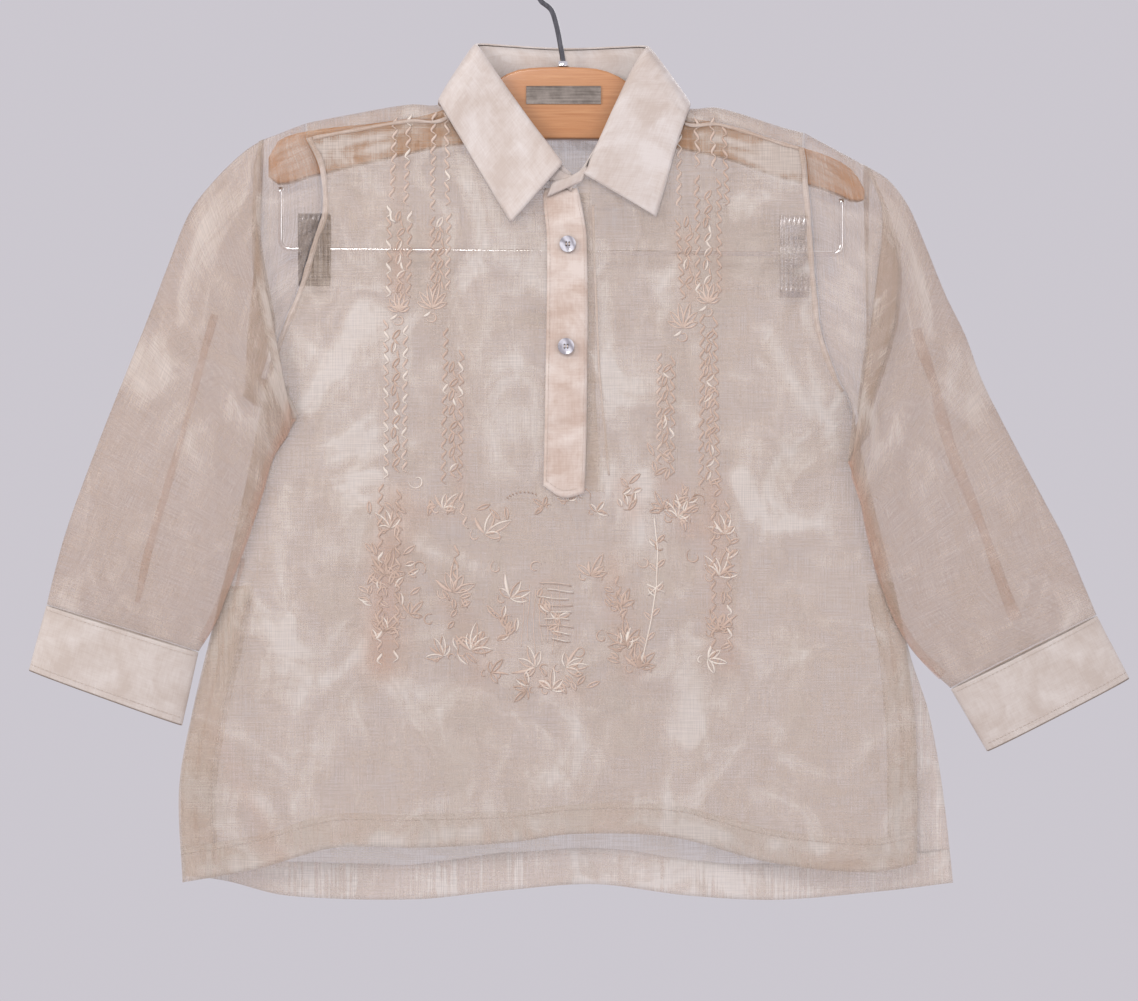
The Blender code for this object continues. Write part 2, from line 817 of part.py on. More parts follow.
def lap(turn):
    """How far an end of the collar stand is moved out, so that the left end lies over the right."""
    return END_LAP * (1 - smoothstep(turn / 0.3)) if turn < 1 else 0.0


def fold_point(turn):
    seam = neck_seam(turn)
    y = seam[1] - 1.5 if turn < 1 or turn > 5 else seam[1] * 1.15
    return (read(COLLAR_FOLD, "turn", "x", turn), y - lap(turn), read(COLLAR_FOLD, "turn", "z", turn))


def clear_of_shoulder(point, gap):
    """Moves a point straight out of the body's depth to a gap outside it."""
    x, y, z = point
    over = z - (ridge(x) - SEAM_DROP)
    if over <= 0:
        limit = front_y(x, z, gap) if y < 0 else back_y(x, z, gap)
        return (x, min(y, limit) if y < 0 else max(y, limit), z)
    around = math.hypot(y / (SHOULDER_DEPTH + gap), over / (SEAM_DROP + gap))
    if around >= 1 or around == 0:
        return point
    return (x, y / around, z - over + over / around)


def build_stand(look):
    turns = [-0.12] + [step / 6 for step in range(6)]
    turns += [1 + step / 6 for step in range(6)]
    turns += [2 + step / 6 for step in range(12)]
    turns += [4 + step / 6 for step in range(12)] + [6, 6.12]
    low, high = [], []
    for turn in turns:
        x, y, z = neck_seam(turn)
        low.append((x, y - lap(turn), z + 1.5 * GAP))
        high.append(fold_point(turn))
    cloth("collar_stand", [low, blended(low, high, 0.5), high], look, None, STIFF_WALL)


def build_leaf(look):
    """The leaf folds over the stand's top and falls outside it to its pointed outer edge."""
    rows = [[] for _ in range(len(LEAF_SHARES) + 2)]
    for step in range(LEAF_STEPS + 1):
        turn = 6 * step / LEAF_STEPS
        fold = Vector(fold_point(turn))
        rim_x = read(COLLAR_RIM, "turn", "x", turn)
        rim_z = read(COLLAR_RIM, "turn", "z", turn)
        away = Vector((fold.x / NECK_HALF, fold.y / 10.0, 0.0)).normalized()
        rim = Vector((rim_x, fold.y * 1.05 - LEAF_LEAN * (turn < 1 or turn > 5), rim_z))
        up = (fold - Vector(neck_seam(turn))).normalized()
        rows[0].append(fold + away * 0.8 + up * 2.4)
        rows[1].append(fold + away * 3.0 + up * 0.9)
        for row, share in enumerate(LEAF_SHARES):
            point = fold.lerp(rim, share) + away * 4.0 * (1 - share) ** 0.5
            rows[row + 2].append(clear_of_shoulder(point, LEAF_CLEARANCE))
    cloth("collar_leaf", rows, look, None, STIFF_WALL)


def build_button(number, at, look):
    """A four-hole button with a raised rim, turned about the line out of the placket."""
    place = BUTTONS[number - 1]
    radius = BUTTON_RADIUS
    profile = (
        (0, 0),
        (radius - 0.6, 0),
        (radius, 0.6),
        (radius, BUTTON_THICK - 0.5),
        (radius - 0.5, BUTTON_THICK),
        (radius - 1.4, BUTTON_THICK),
        (radius - 2.1, BUTTON_THICK - 0.7),
        (0, BUTTON_THICK - 0.7),
    )
    made = solid_of_turn(f"button_{number}", profile, look, 28)
    made.location = (place.x * MM, (at(place.x, place.z) - 2 * GAP - STIFF_WALL) * MM, place.z * MM)
    made.rotation_euler = (math.pi / 2, 0, 0)
    for step in range(4):
        angle = math.pi / 4 + step * math.pi / 2
        bpy.ops.mesh.primitive_cylinder_add(
            vertices=10,
            radius=0.8 * MM,
            depth=8 * MM,
            location=(
                made.location.x + 1.5 * MM * math.cos(angle),
                made.location.y,
                made.location.z + 1.5 * MM * math.sin(angle),
            ),
            rotation=(math.pi / 2, 0, 0),
        )
        cutter = bpy.context.object
        cutter.name = f"button_{number}_hole_{step + 1}"
        cutter.hide_render = True
        cutter.display_type = "WIRE"
        hole = made.modifiers.new(f"hole_{step + 1}", "BOOLEAN")
        hole.operation = "DIFFERENCE"
        hole.object = cutter
    return made


def solid_of_turn(name, profile, look, steps):
    """A solid turned about Z from a half profile that starts and ends on the axis."""
    mesh = bpy.data.meshes.new(name)
    bm = bmesh.new()
    points = [bm.verts.new(Vector((r, 0, h)) * MM) for r, h in profile]
    edges = [bm.edges.new(pair) for pair in zip(points, points[1:])]
    bmesh.ops.spin(
        bm, geom=points + edges, cent=(0, 0, 0), axis=(0, 0, 1), angle=2 * math.pi, steps=steps
    )
    bmesh.ops.remove_doubles(bm, verts=bm.verts, dist=0.001 * MM)
    bmesh.ops.recalc_face_normals(bm, faces=bm.faces)
    bm.to_mesh(mesh)
    bm.free()
    return finish(name, mesh, look)


def ring_of_turn(name, profile, look, steps):
    """A ring turned about Z from a closed profile that stays clear of the axis."""
    mesh = bpy.data.meshes.new(name)
    bm = bmesh.new()
    points = [bm.verts.new(Vector((r, 0, h)) * MM) for r, h in profile]
    edges = [bm.edges.new(pair) for pair in zip(points, points[1:] + points[:1])]
    bmesh.ops.spin(
        bm, geom=points + edges, cent=(0, 0, 0), axis=(0, 0, 1), angle=2 * math.pi, steps=steps
    )
    bmesh.ops.remove_doubles(bm, verts=bm.verts, dist=0.001 * MM)
    bmesh.ops.recalc_face_normals(bm, faces=bm.faces)
    bm.to_mesh(mesh)
    bm.free()
    return finish(name, mesh, look)


def build_wood(look):
    """The hanger's body: sections along X, each a rounded upright slab."""
    sections = []
    for row, following in zip(WOOD, WOOD[1:] + (None,)):
        stops = (0.0,) if following is None else (0.0, 0.5)
        for share in stops:
            x = row.x if following is None else row.x + (following.x - row.x) * share
            top = read(WOOD, "x", "top", x)
            bottom = read(WOOD, "x", "bottom", x)
            middle, half = (top + bottom) / 2, (top - bottom) / 2
            near_end = min(x - WOOD[0].x, WOOD[-1].x - x)
            thick = HANGER_DEPTH / 2 * (0.72 + 0.28 * smoothstep(near_end / 9))
            section = []
            for step in range(16):
                angle = 2 * math.pi * (step + 0.5) / 16
                across, up = math.cos(angle), math.sin(angle)
                y = thick * math.copysign(abs(across) ** 0.42, across)
                z = middle + half * math.copysign(abs(up) ** 0.42, up)
                section.append((x, y, z))
            sections.append(section)
    return section_solid("hanger_wood", sections, look)


def build_plate(look):
    """A blank plate fixed to the middle of the wood's front."""
    bpy.ops.mesh.primitive_cube_add(size=1)
    made = bpy.context.object
    made.name = "hanger_plate"
    made.scale = (54 * MM, 0.7 * MM, 12.9 * MM)
    made.location = (0.4 * MM, -(HANGER_DEPTH / 2 + GAP + 0.35) * MM, -99.3 * MM)
    bpy.ops.object.transform_apply(location=False, rotation=False, scale=True)
    made.data.materials.append(look)
    corners = made.modifiers.new("corners", "BEVEL")
    corners.width = 0.22 * MM
    corners.segments = 2
    return made


def build_hook(look):
    """The hook's wire: up from the wood, then round an arc whose inner top is the origin."""
    points = [(0, 0, -78.5), (-0.1, 0, -73.5), (-2.0, 0, -62), (-4.8, 0, -48), (-8.5, 0, -37)]
    centre_z = WIRE - HOOK_RADIUS
    for step in range(HOOK_STEPS + 1):
        angle = math.radians(HOOK_FROM + (HOOK_TO - HOOK_FROM) * step / HOOK_STEPS)
        points.append((HOOK_RADIUS * math.cos(angle), 0, centre_z + HOOK_RADIUS * math.sin(angle)))
    smooth = through(points[:7], 3)[:-1] + points[6:]
    return wire("hook", smooth, WIRE, look)


def build_bar(look):
    """The trouser bar: one wire with a leg up to the wood at each end."""
    left, right = BAR_LEFT, BAR_RIGHT
    points = [(left.x, 0, -165.2)]
    for turn in range(BEND_STEPS + 1):
        angle = math.radians(180 + 90 * turn / BEND_STEPS)
        x = left.x + BEND_RADIUS + BEND_RADIUS * math.cos(angle)
        points.append((x, 0, left.z + BEND_RADIUS + BEND_RADIUS * math.sin(angle)))
    for turn in range(BEND_STEPS + 1):
        angle = math.radians(270 + 90 * turn / BEND_STEPS)
        x = right.x - BEND_RADIUS + BEND_RADIUS * math.cos(angle)
        points.append((x, 0, right.z + BEND_RADIUS + BEND_RADIUS * math.sin(angle)))
    points.append((right.x, 0, -173.6))
    return wire("trouser_bar", points, WIRE, look)


def bar_z(x):
    share = (x - BAR_LEFT.x) / (BAR_RIGHT.x - BAR_LEFT.x)
    return BAR_LEFT.z + (BAR_RIGHT.z - BAR_LEFT.z) * share


def build_clip(clip, metal, slide_look):
    """A clip: a slide round the bar, and two bent jaws that meet below it."""
    hub_z = bar_z(clip.x)
    slide = ring_of_turn(
        f"clip_{clip.side}_slide",
        [(WIRE + GAP, -8), (WIRE + GAP, 8), (3.0, 8), (3.25, 7.6), (3.25, -7.6), (3.0, -8)],
        slide_look,
        20,
    )
    slide.rotation_euler = (0, math.pi / 2, 0)
    slide.location = (clip.x * MM, 0, hub_z * MM)
    line = (
        At(6.3, clip.top),
        At(6.1, clip.top * 0.5),
        At(5.0, 6),
        At(4.9, -5),
        At(3.4, -clip.foot * 0.5),
        At(1.9, -clip.foot * 0.85),
        At(1.7, -clip.foot),
    )
    for face, name in ((-1, "front"), (1, "back")):
        sections = []
        for end in (-0.5, 0.5):
            x = clip.x + clip.width * end
            outline = [(x, face * spot.x, hub_z + spot.z) for spot in line]
            outline += [(x, face * (spot.x - CLIP_SHEET), hub_z + spot.z) for spot in reversed(line)]
            sections.append(outline)
        jaw = section_solid(f"clip_{clip.side}_{name}", sections, metal)
        edge = jaw.modifiers.new("edge", "BEVEL")
        edge.width = 0.25 * MM
        edge.segments = 1
        edge.limit_method = "ANGLE"


def main():
    for old in list(bpy.data.objects):
        bpy.data.objects.remove(old, do_unlink=True)
    sheer = material("sheer_cloth", (0.62, 0.52, 0.42), 0.5)
    stiff = material("stiff_cloth", (0.74, 0.68, 0.6), 0.6)
    pearl = material("pearl", (0.6, 0.6, 0.6), 0.2)
    wood = material("varnished_wood", (0.55, 0.3, 0.16), 0.35)
    chrome = material("chrome", (0.75, 0.75, 0.76), 0.15, 1.0)
    steel = material("clip_steel", (0.45, 0.44, 0.45), 0.35, 1.0)
    plate = material("plate", (0.32, 0.3, 0.28), 0.5)

    front = panel_rows(FRONT_EDGES, FRONT_HEM, front_top, front_y)
    back = panel_rows(BACK_EDGES, BACK_HEM, back_top, back_y)
    build_front(front, sheer)
    build_back(back, sheer)
    inwards = SHEER_WALL + GAP
    width = range(PANEL_COLUMNS + 1)
    sides = (("left", (0, 1)), ("right", (PANEL_COLUMNS - 1, PANEL_COLUMNS)))
    for name, rows, step, out in (("front", front, inwards, FRONT_OUT), ("back", back, -inwards, BACK_OUT)):
        band(f"hem_{name}", rows, 0, 1, width, step, sheer, out)
        for side, columns in sides:
            band(f"slit_{name}_{side}", rows, 1, SLIT_TOP_ROW, columns, step, sheer, out)

    for arm, side in ((LEFT_ARM, "left"), (RIGHT_ARM, "right")):
        build_sleeve(arm, f"sleeve_{side}", front, sheer)
        build_cuff(arm, f"cuff_{side}", stiff)
    build_stand(stiff)
    build_leaf(stiff)

    on_front = faceted(front)
    over = -(GAP + STIFF_WALL)
    build_placket("placket", on_front, over, PLACKET, PLACKET_FOOT, stiff, STIFF_WALL)
    build_placket("placket_under", on_front, inwards, UNDERLAP, UNDERLAP_FOOT, stiff, SHEER_WALL)
    for number in range(1, len(BUTTONS) + 1):
        build_button(number, on_front, pearl)

    build_wood(wood)
    build_plate(plate)
    build_hook(chrome)
    collar = ring_of_turn(
        "hook_collar", [(WIRE + GAP, -2), (4.2, -2), (4.4, -1), (3.6, 2), (WIRE + GAP, 2)], chrome, 20
    )
    collar.location = (0, 0, -76.2 * MM)
    build_bar(chrome)
    for clip in CLIPS:
        build_clip(clip, steel, chrome)


main()
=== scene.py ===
# %% [markdown]
# # A sheer barong tagalog on a wooden clip hanger
#
# The barong tagalog is a loose Philippine shirt of stiff, see-through cloth woven from pineapple
# leaf or silk. This one is a popover: it has a half-length placket, an opaque collar and cuffs,
# cream embroidery beside the placket, and side slits. It hangs flat on a hanger with clips.
#
# The frame holds plain solids of every piece. Each lesson below replaces one of them with a
# finer piece, and gives it a finish made of nodes.

# %% Load the frame
import math
from collections import namedtuple

import bmesh
import bpy
import numpy as np
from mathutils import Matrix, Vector


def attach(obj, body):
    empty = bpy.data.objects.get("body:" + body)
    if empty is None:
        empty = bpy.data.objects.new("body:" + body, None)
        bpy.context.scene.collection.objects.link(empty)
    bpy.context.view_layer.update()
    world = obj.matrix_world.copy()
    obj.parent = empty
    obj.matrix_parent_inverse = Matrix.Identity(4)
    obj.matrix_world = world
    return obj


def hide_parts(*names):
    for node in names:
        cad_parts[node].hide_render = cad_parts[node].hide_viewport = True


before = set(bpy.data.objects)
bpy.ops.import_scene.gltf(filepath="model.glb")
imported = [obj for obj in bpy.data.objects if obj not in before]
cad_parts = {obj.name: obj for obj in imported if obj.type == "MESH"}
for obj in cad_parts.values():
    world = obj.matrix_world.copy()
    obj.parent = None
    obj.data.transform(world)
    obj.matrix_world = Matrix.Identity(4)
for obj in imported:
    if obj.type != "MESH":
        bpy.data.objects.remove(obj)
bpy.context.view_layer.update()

MM = 0.001
scene = bpy.context.scene
bpy.ops.object.select_all(action="DESELECT")

# %% [markdown]
# ## Sizes in tables
#
# A tailor works from a table of measures. Each table below has named columns, in millimetres, and
# one smooth curve is read through its rows. Z is up from the hanger's rail, X runs across the
# shirt, and the front faces -Y.

# %% Tables that shape the panels
At = namedtuple("At", "x z")
Edge = namedtuple("Edge", "z left right")
Depth = namedtuple("Depth", "z front back")
Fold = namedtuple("Fold", "x1 z1 x2 z2 width depth")
Ring = namedtuple("Ring", "outer_x outer_z inner_x inner_z front back lean")
Arm = namedtuple("Arm", "sign underarm_z tuck fold rings cuff fold_from fold_full")
Around = namedtuple("Around", "turn x z")
Wood = namedtuple("Wood", "x top bottom")
Patch = namedtuple("Patch", "x1 z1 x2 z2 width strength")


def table(kind, *rows):
    """Rows of plain numbers, each given the column names of its kind."""
    return tuple(kind(*row) for row in rows)


FRONT_EDGES = table(
    Edge,
    (-125, -188, 172), (-132, -185, 173), (-148, -177, 175.5), (-166, -174, 177),
    (-186, -174, 179), (-203, -180, 180), (-240, -191, 183), (-272, -204, 187), (-305, -215, 199),
    (-320, -217.5, 207), (-400, -234, 226), (-470, -250, 243), (-545, -268, 254),
    (-600, -277.5, 256), (-669, -275, 255.6),
)
BACK_EDGES = FRONT_EDGES[:11] + table(
    Edge,
    (-505, -258, 252), (-545, -268, 265), (-600, -277, 275), (-680, -274, 284),
)
RIDGE = table(
    At,
    (-232, -141), (-218, -130), (-195, -121), (-147, -111), (-110, -105), (-91, -105.5),
    (-78, -99.5), (-64, -92.5), (64, -95), (78, -102), (92, -108), (112, -107.5), (160, -122),
    (194, -132), (219, -149.5), (236, -160),
)
FRONT_HEM = table(
    At,
    (-275, -668), (-220, -657.5), (-165, -642), (-100, -642), (-40, -638.5), (8, -632),
    (79, -634.5), (150, -653), (222, -660), (256, -654.5),
)
BACK_HEM = table(
    At,
    (-274, -664), (-245, -668), (-201, -679), (-110, -682), (-40, -675), (24, -671), (90, -679),
    (156, -682), (232, -676), (284, -669),
)
CORE_DEPTH = table(
    Depth,
    (-90, 11, 11), (-130, 13, 12), (-170, 18, 14), (-260, 19, 14.5), (-420, 18, 14),
    (-560, 15, 12), (-682, 12, 9),
)

# %% [markdown]
# A fold is a line with a width and a depth: plus stands towards the viewer, minus sinks away.
# Broad soft folds come first in each pair of tables and thin sharp creases second. They fan out
# from the armholes, where the cloth is pulled, and run straight down near the hem.

# %% Folds that the cloth hangs in
FRONT_FOLDS = table(
    Fold,
    (-182, -300, -120, -352, 11, 2.2), (-190, -322, -135, -392, 12, -1.8),
    (178, -300, 128, -384, 12, 2.4), (190, -345, 150, -372, 9, -1.6),
    (-62, -215, -58, -330, 17, 2.0), (30, -230, 48, -352, 13, -1.8),
    (140, -198, 178, -268, 13, 2.0), (-96, -560, -104, -650, 15, 1.6),
    (74, -520, 76, -640, 10, -2.2), (150, -352, 185, -346, 8, 1.4), (98, -430, 132, -560, 18, 1.6),
    (-205, -560, -214, -668, 15, -2.0),
)
FRONT_CREASES = table(
    Fold,
    (-163, -352, -138, -334, 3.0, 0.9), (-160, -366, -118, -346, 3.5, -0.8),
    (-150, -402, -96, -388, 4.0, 0.8), (-120, -300, -84, -392, 5.0, 0.8),
    (-44, -240, -40, -300, 4.5, 0.9), (-72, -236, -66, -320, 6.0, -0.8),
    (-30, -330, -34, -420, 5.0, 0.7), (28, -262, 34, -400, 4.0, 1.1),
    (44, -250, 52, -330, 4.5, -0.8), (145, -266, 178, -330, 4.0, 1.3),
    (156, -262, 190, -338, 3.5, -1.0), (150, -414, 186, -409, 2.6, 1.2),
    (142, -424, 172, -434, 3.5, -0.7), (124, -372, 137, -394, 4.5, 0.9),
    (74, -588, 77, -627, 2.0, 1.8), (80, -584, 83, -626, 2.6, -1.2),
    (88, -512, 108, -566, 4.0, 1.0), (-132, -560, -150, -640, 5.0, 1.0),
    (-60, -560, -66, -640, 4.0, -0.8), (8, -548, 2, -628, 4.5, 0.8),
    (168, -560, 182, -652, 5.0, 0.9), (-200, -420, -150, -520, 7.0, 0.8),
    (196, -420, 150, -500, 6.0, 0.8), (-150, -150, -120, -200, 5.0, 0.6),
    (118, -150, 146, -196, 5.0, -0.6),
)
BACK_FOLDS = table(
    Fold,
    (-150, -180, -60, -330, 20, 2.4), (150, -190, 70, -360, 22, 2.2),
    (-190, -330, -130, -420, 14, -1.8), (185, -340, 120, -430, 14, 2.0),
    (-70, -420, -90, -670, 24, 2.6), (30, -360, 44, -660, 20, -2.2),
    (160, -470, 190, -670, 22, 2.4), (-190, -520, -222, -668, 18, -2.0),
)
BACK_CREASES = table(
    Fold,
    (-160, -200, -110, -262, 5.0, 0.9), (148, -214, 108, -280, 4.5, -0.9),
    (-182, -352, -120, -384, 4.0, 1.1), (-176, -372, -104, -428, 5.0, -0.8),
    (178, -356, 112, -392, 4.0, 1.0), (170, -384, 120, -446, 5.5, -0.9),
    (-40, -150, -46, -250, 6.0, 0.8), (22, -180, 30, -300, 5.0, -0.7),
    (-120, -470, -134, -600, 6.0, 0.9), (8, -470, 2, -640, 5.5, 1.0),
    (92, -520, 104, -660, 4.5, -1.0), (220, -520, 236, -668, 6.0, 1.0),
    (-232, -560, -246, -660, 5.0, -0.8),
)
print("Folds and creases in front:", len(FRONT_FOLDS + FRONT_CREASES))
print("Folds and creases behind:", len(BACK_FOLDS + BACK_CREASES))

# %% [markdown]
# ### The sleeves' tables
#
# Each arm is a row of rings, from the armhole to the wrist. A ring states its outer and inner end,
# how far it bulges in front and behind, and how far it leans out of the hanger's plane. The fold
# is the line where the sleeve turns over the body's edge.

# %% Tables that shape the sleeves
LEFT_ARM = Arm(
    sign=-1,
    underarm_z=-305,
    tuck=At(-226, -316),
    fold=table(
        At,
        (-218, -131), (-217, -166), (-217.5, -222), (-214.5, -248), (-210, -272), (-201.5, -305),
        (-191.5, -329),
    ),
    rings=table(
        Ring,
        (-232, -140.5, -194, -337.5, 12, 10, 12), (-253, -161, -196, -341, 12, 10, 12),
        (-271, -185, -199, -347, 11.5, 10, 10.5), (-286, -222, -204, -354, 11, 10, 10.5),
        (-300, -259, -209.5, -365, 10.5, 10, 10.5), (-316, -299, -216, -387, 10, 10, 10),
        (-337, -352, -225.4, -415.4, 9.5, 10, 9), (-357, -406, -240.5, -456.5, 9.5, 9, 8),
        (-367, -440, -250, -480, 9, 9, 7), (-373.6, -467.2, -263, -501, 9, 8.5, 6),
    ),
    cuff=table(
        Ring,
        (-373.8, -467.8, -263.2, -501.7, 8.6, 8.2, 6), (-378, -483, -267, -519, 8.8, 8.4, 6),
        (-382.5, -499.5, -271, -537, 8.6, 8.4, 6), (-386.6, -514.8, -275, -554.4, 8.2, 8.2, 6),
    ),
    fold_from=0.0,
    fold_full=0.1,
)
RIGHT_ARM = Arm(
    sign=1,
    underarm_z=-320,
    tuck=At(219.5, -337),
    fold=table(
        At,
        (219, -149.6), (229, -176), (238, -207), (236.5, -237), (234, -264), (229, -284),
        (219, -319), (213, -343.5), (205.2, -360.7),
    ),
    rings=table(
        Ring,
        (235.5, -160, 207, -368.5, 12, 10, 12), (250, -179, 208, -373, 12, 10, 12),
        (262, -206.6, 209.5, -379, 11.5, 10, 10.5), (277, -243.4, 212, -387, 11, 10, 10.5),
        (291, -272, 214.5, -396, 10.5, 10, 10.5), (302.4, -303, 217, -408, 10, 10, 10),
        (318, -335, 220.5, -424, 9.5, 10, 9), (348, -391.7, 229.5, -456, 9.5, 9, 8),
        (363, -420, 239.5, -481, 9, 9, 7), (376, -450.7, 255, -504, 9, 9, 6),
        (386, -474.6, 279.6, -527.4, 9, 8.5, 6),
    ),
    cuff=table(
        Ring,
        (386.4, -475.4, 279.9, -528.3, 8.6, 8.2, 6), (394, -490.4, 288.5, -543, 8.8, 8.4, 6),
        (402, -505.5, 297.2, -558, 8.6, 8.4, 6), (409.7, -520.6, 306, -573.1, 8.2, 8.2, 6),
    ),
    fold_from=0.22,
    fold_full=0.4,
)
ARMS = (("left", LEFT_ARM), ("right", RIGHT_ARM))

# %% [markdown]
# ### The collar's tables
#
# A collar runs once round the neck. Both tables follow it by a turn number, from the left point
# at 0, past the back at 3, to the right point at 6. One table is its folded top edge and the
# other its lower rim.

# %% Tables that shape the collar
COLLAR_FOLD = table(
    Around,
    (-0.12, 6, -157.5), (0, -0.5, -151.5), (0.2, -10, -139), (0.4, -22, -123), (0.68, -37, -102),
    (0.88, -51.5, -80.5), (1.1, -59.5, -68.5), (1.5, -62.5, -64), (1.9, -60.5, -61.5),
    (2.3, -46, -62.2), (3, 0, -64.8), (3.7, 44, -63.4), (4.1, 58, -63), (4.5, 60.5, -65.5),
    (4.9, 57.5, -71), (5.12, 49.5, -84), (5.32, 38.5, -107), (5.6, 26.5, -132.5), (5.8, 19, -147),
    (6, 13, -157), (6.12, -4, -159.5),
)
COLLAR_RIM = table(
    Around,
    (0, -37.4, -193), (0.2, -43.5, -183), (0.4, -54, -165), (0.68, -69, -139.5),
    (0.88, -81, -119.5), (1.2, -88.5, -107), (1.5, -90.5, -103.2), (1.9, -88, -106),
    (2.3, -62, -112), (3, 0, -114), (3.7, 62, -113), (4.1, 88, -109), (4.5, 92.2, -105.6),
    (4.8, 91, -110), (5.12, 87, -121), (5.32, 80.5, -141), (5.6, 73.5, -166), (5.8, 69, -182),
    (6, 67, -188.6),
)

# %% [markdown]
# ### One smooth curve through a table
#
# A cubic curve through the rows gives a smooth outline from few rows, as a tailor's curved rule
# does from a few chalk marks.

# %% Reading a table
def smoothstep(value):
    value = np.clip(value, 0.0, 1.0)
    return value * value * (3 - 2 * value)


def read(rows, field, at):
    """A table's field at one key or many, on one smooth curve. The first column is the key."""
    rows = sorted(rows)
    keys = np.array([row[0] for row in rows], float)
    values = np.array([getattr(row, field) for row in rows], float)
    slopes = np.gradient(values, keys, edge_order=1)
    slopes[1:-1] = (values[2:] - values[:-2]) / (keys[2:] - keys[:-2])
    at = np.clip(at, keys[0], keys[-1])
    high = np.clip(np.searchsorted(keys, at, side="right"), 1, len(keys) - 1)
    low = high - 1
    span = keys[high] - keys[low]
    t = (at - keys[low]) / span
    return (
        (1 + 2 * t) * (1 - t) ** 2 * values[low]
        + t * (1 - t) ** 2 * span * slopes[low]
        + t * t * (3 - 2 * t) * values[high]
        + t * t * (t - 1) * span * slopes[high]
    )


print("The shoulder ridge stands", round(-float(read(RIDGE, "z", -147.0)), 1), "mm below the rail")

# %% [markdown]
# ## The panels' depth
#
# A shirt on a hanger is two nearly flat sheets that meet at the sides. One function says how far
# each sheet stands out from the hanger's plane at a point. Cloth simulation could find such a
# shape too, but this cloth is stiff and its creases have known places, so they are listed: each is
# a soft trough or ridge that fades towards both of its ends.

# %% How far each panel stands out
SEAM_DROP = 12.0
SHOULDER_DEPTH = 10.0
SIDE_DEPTH = 1.35
SLIT_DEPTH = 4.2
SLIT_SPREAD_FROM = -425.0
SLIT_SPREAD_TO = -470.0
SIDE_ROUND = 90.0
ARMHOLE_RISE = 65.0
NECK_HALF = 64.0
NECK_FRONT_Z = -166.0
NECK_BACK_Z = -88.0


def ridge(x):
    return read(RIDGE, "z", x)


def neck_front(x):
    rise = ridge(NECK_HALF) - SEAM_DROP - NECK_FRONT_Z
    return NECK_FRONT_Z + rise * (np.abs(x) / NECK_HALF) ** 1.2


def neck_back(x):
    dip = smoothstep((np.abs(x) - 40) / (NECK_HALF - 40))
    return NECK_BACK_Z + (ridge(x) - SEAM_DROP - NECK_BACK_Z) * dip


def front_top(x):
    return np.where(np.abs(x) < NECK_HALF, neck_front(x), ridge(x) - SEAM_DROP)


def back_top(x):
    return np.where(np.abs(x) < NECK_HALF, neck_back(x), ridge(x) - SEAM_DROP)


def fold_height(folds, x, z):
    """The sum of the soft troughs and ridges at a point."""
    total = np.zeros_like(x * z)
    for fold in folds:
        along_x, along_z = fold.x2 - fold.x1, fold.z2 - fold.z1
        length = math.hypot(along_x, along_z)
        t = ((x - fold.x1) * along_x + (z - fold.z1) * along_z) / length**2
        off = ((x - fold.x1) * along_z - (z - fold.z1) * along_x) / length
        reach = np.sin(np.pi * (np.clip(t, -0.2, 1.2) + 0.2) / 1.4) ** 2
        total = total + fold.depth * reach * np.exp(-((off / fold.width) ** 2))
    return total


def ripple(x, z):
    """The slight unevenness of stiff cloth between its creases."""
    slow = np.sin(x / 23.0 + 1.3 * np.sin(z / 47.0)) * np.sin(z / 31.0 + 0.8 * np.sin(x / 39.0))
    quick = np.sin(x / 7.9 + np.sin(z / 19.0)) * np.sin(z / 13.0 + np.sin(x / 17.0))
    return 0.6 * slow + 0.3 * quick


def panel_depth(x, z, edges, field, folds, creases):
    core = read(CORE_DEPTH, field, z)
    spread = smoothstep((SLIT_SPREAD_FROM - z) / (SLIT_SPREAD_FROM - SLIT_SPREAD_TO))
    side_depth = SIDE_DEPTH + (SLIT_DEPTH - SIDE_DEPTH) * spread
    body = core
    for side, name, arm in ((-1, "left", LEFT_ARM), (1, "right", RIGHT_ARM)):
        rim_x = read(edges, name, z)
        inside = np.clip(side * (rim_x - x) / SIDE_ROUND, 0.0, 1.0)
        rise = smoothstep((z - arm.underarm_z + 25) / ARMHOLE_RISE)
        rim = side_depth + (SHOULDER_DEPTH - 0.5 - side_depth) * rise
        body = np.minimum(body, rim + (core - rim) * (1 - (1 - inside) ** 2))
    below = smoothstep((ridge(x) - SEAM_DROP - z) / 60)
    hem_wave = 1.6 * np.sin(x / 31.0) * smoothstep((-560 - z) / 100)
    edge_calm = smoothstep((body - side_depth) / 7)
    waves = (fold_height(folds, x, z) + hem_wave) * below * edge_calm
    fine = (fold_height(creases, x, z) + ripple(x, z)) * below * edge_calm
    return np.maximum(side_depth, SHOULDER_DEPTH + (body - SHOULDER_DEPTH) * below + waves + fine)


def front_y(x, z):
    return -panel_depth(x, z, FRONT_EDGES, "front", FRONT_FOLDS, FRONT_CREASES)


def back_y(x, z):
    return panel_depth(x, z, BACK_EDGES, "back", BACK_FOLDS, BACK_CREASES)


print("The front stands", round(-float(front_y(np.array(0.0), np.array(-300.0))), 1), "mm out at the chest")

# %% [markdown]
# ## Turning points into cloth
#
# Every sheet is a grid of points. The first helper makes its mesh, with a UV map in metres of
# flat cloth, so that a weave has its real scale and follows the cloth. A number is stored at each
# point that is mostly painted sheen and painted shade, with some of the cloth's real tone. The
# second helper gives the sheet its thickness, inwards, with a Solidify modifier that is applied at
# once.

# %% Sheets, strips and their thickness
SHEER = 0.28
STIFF = 1.1
CUFF = 1.4


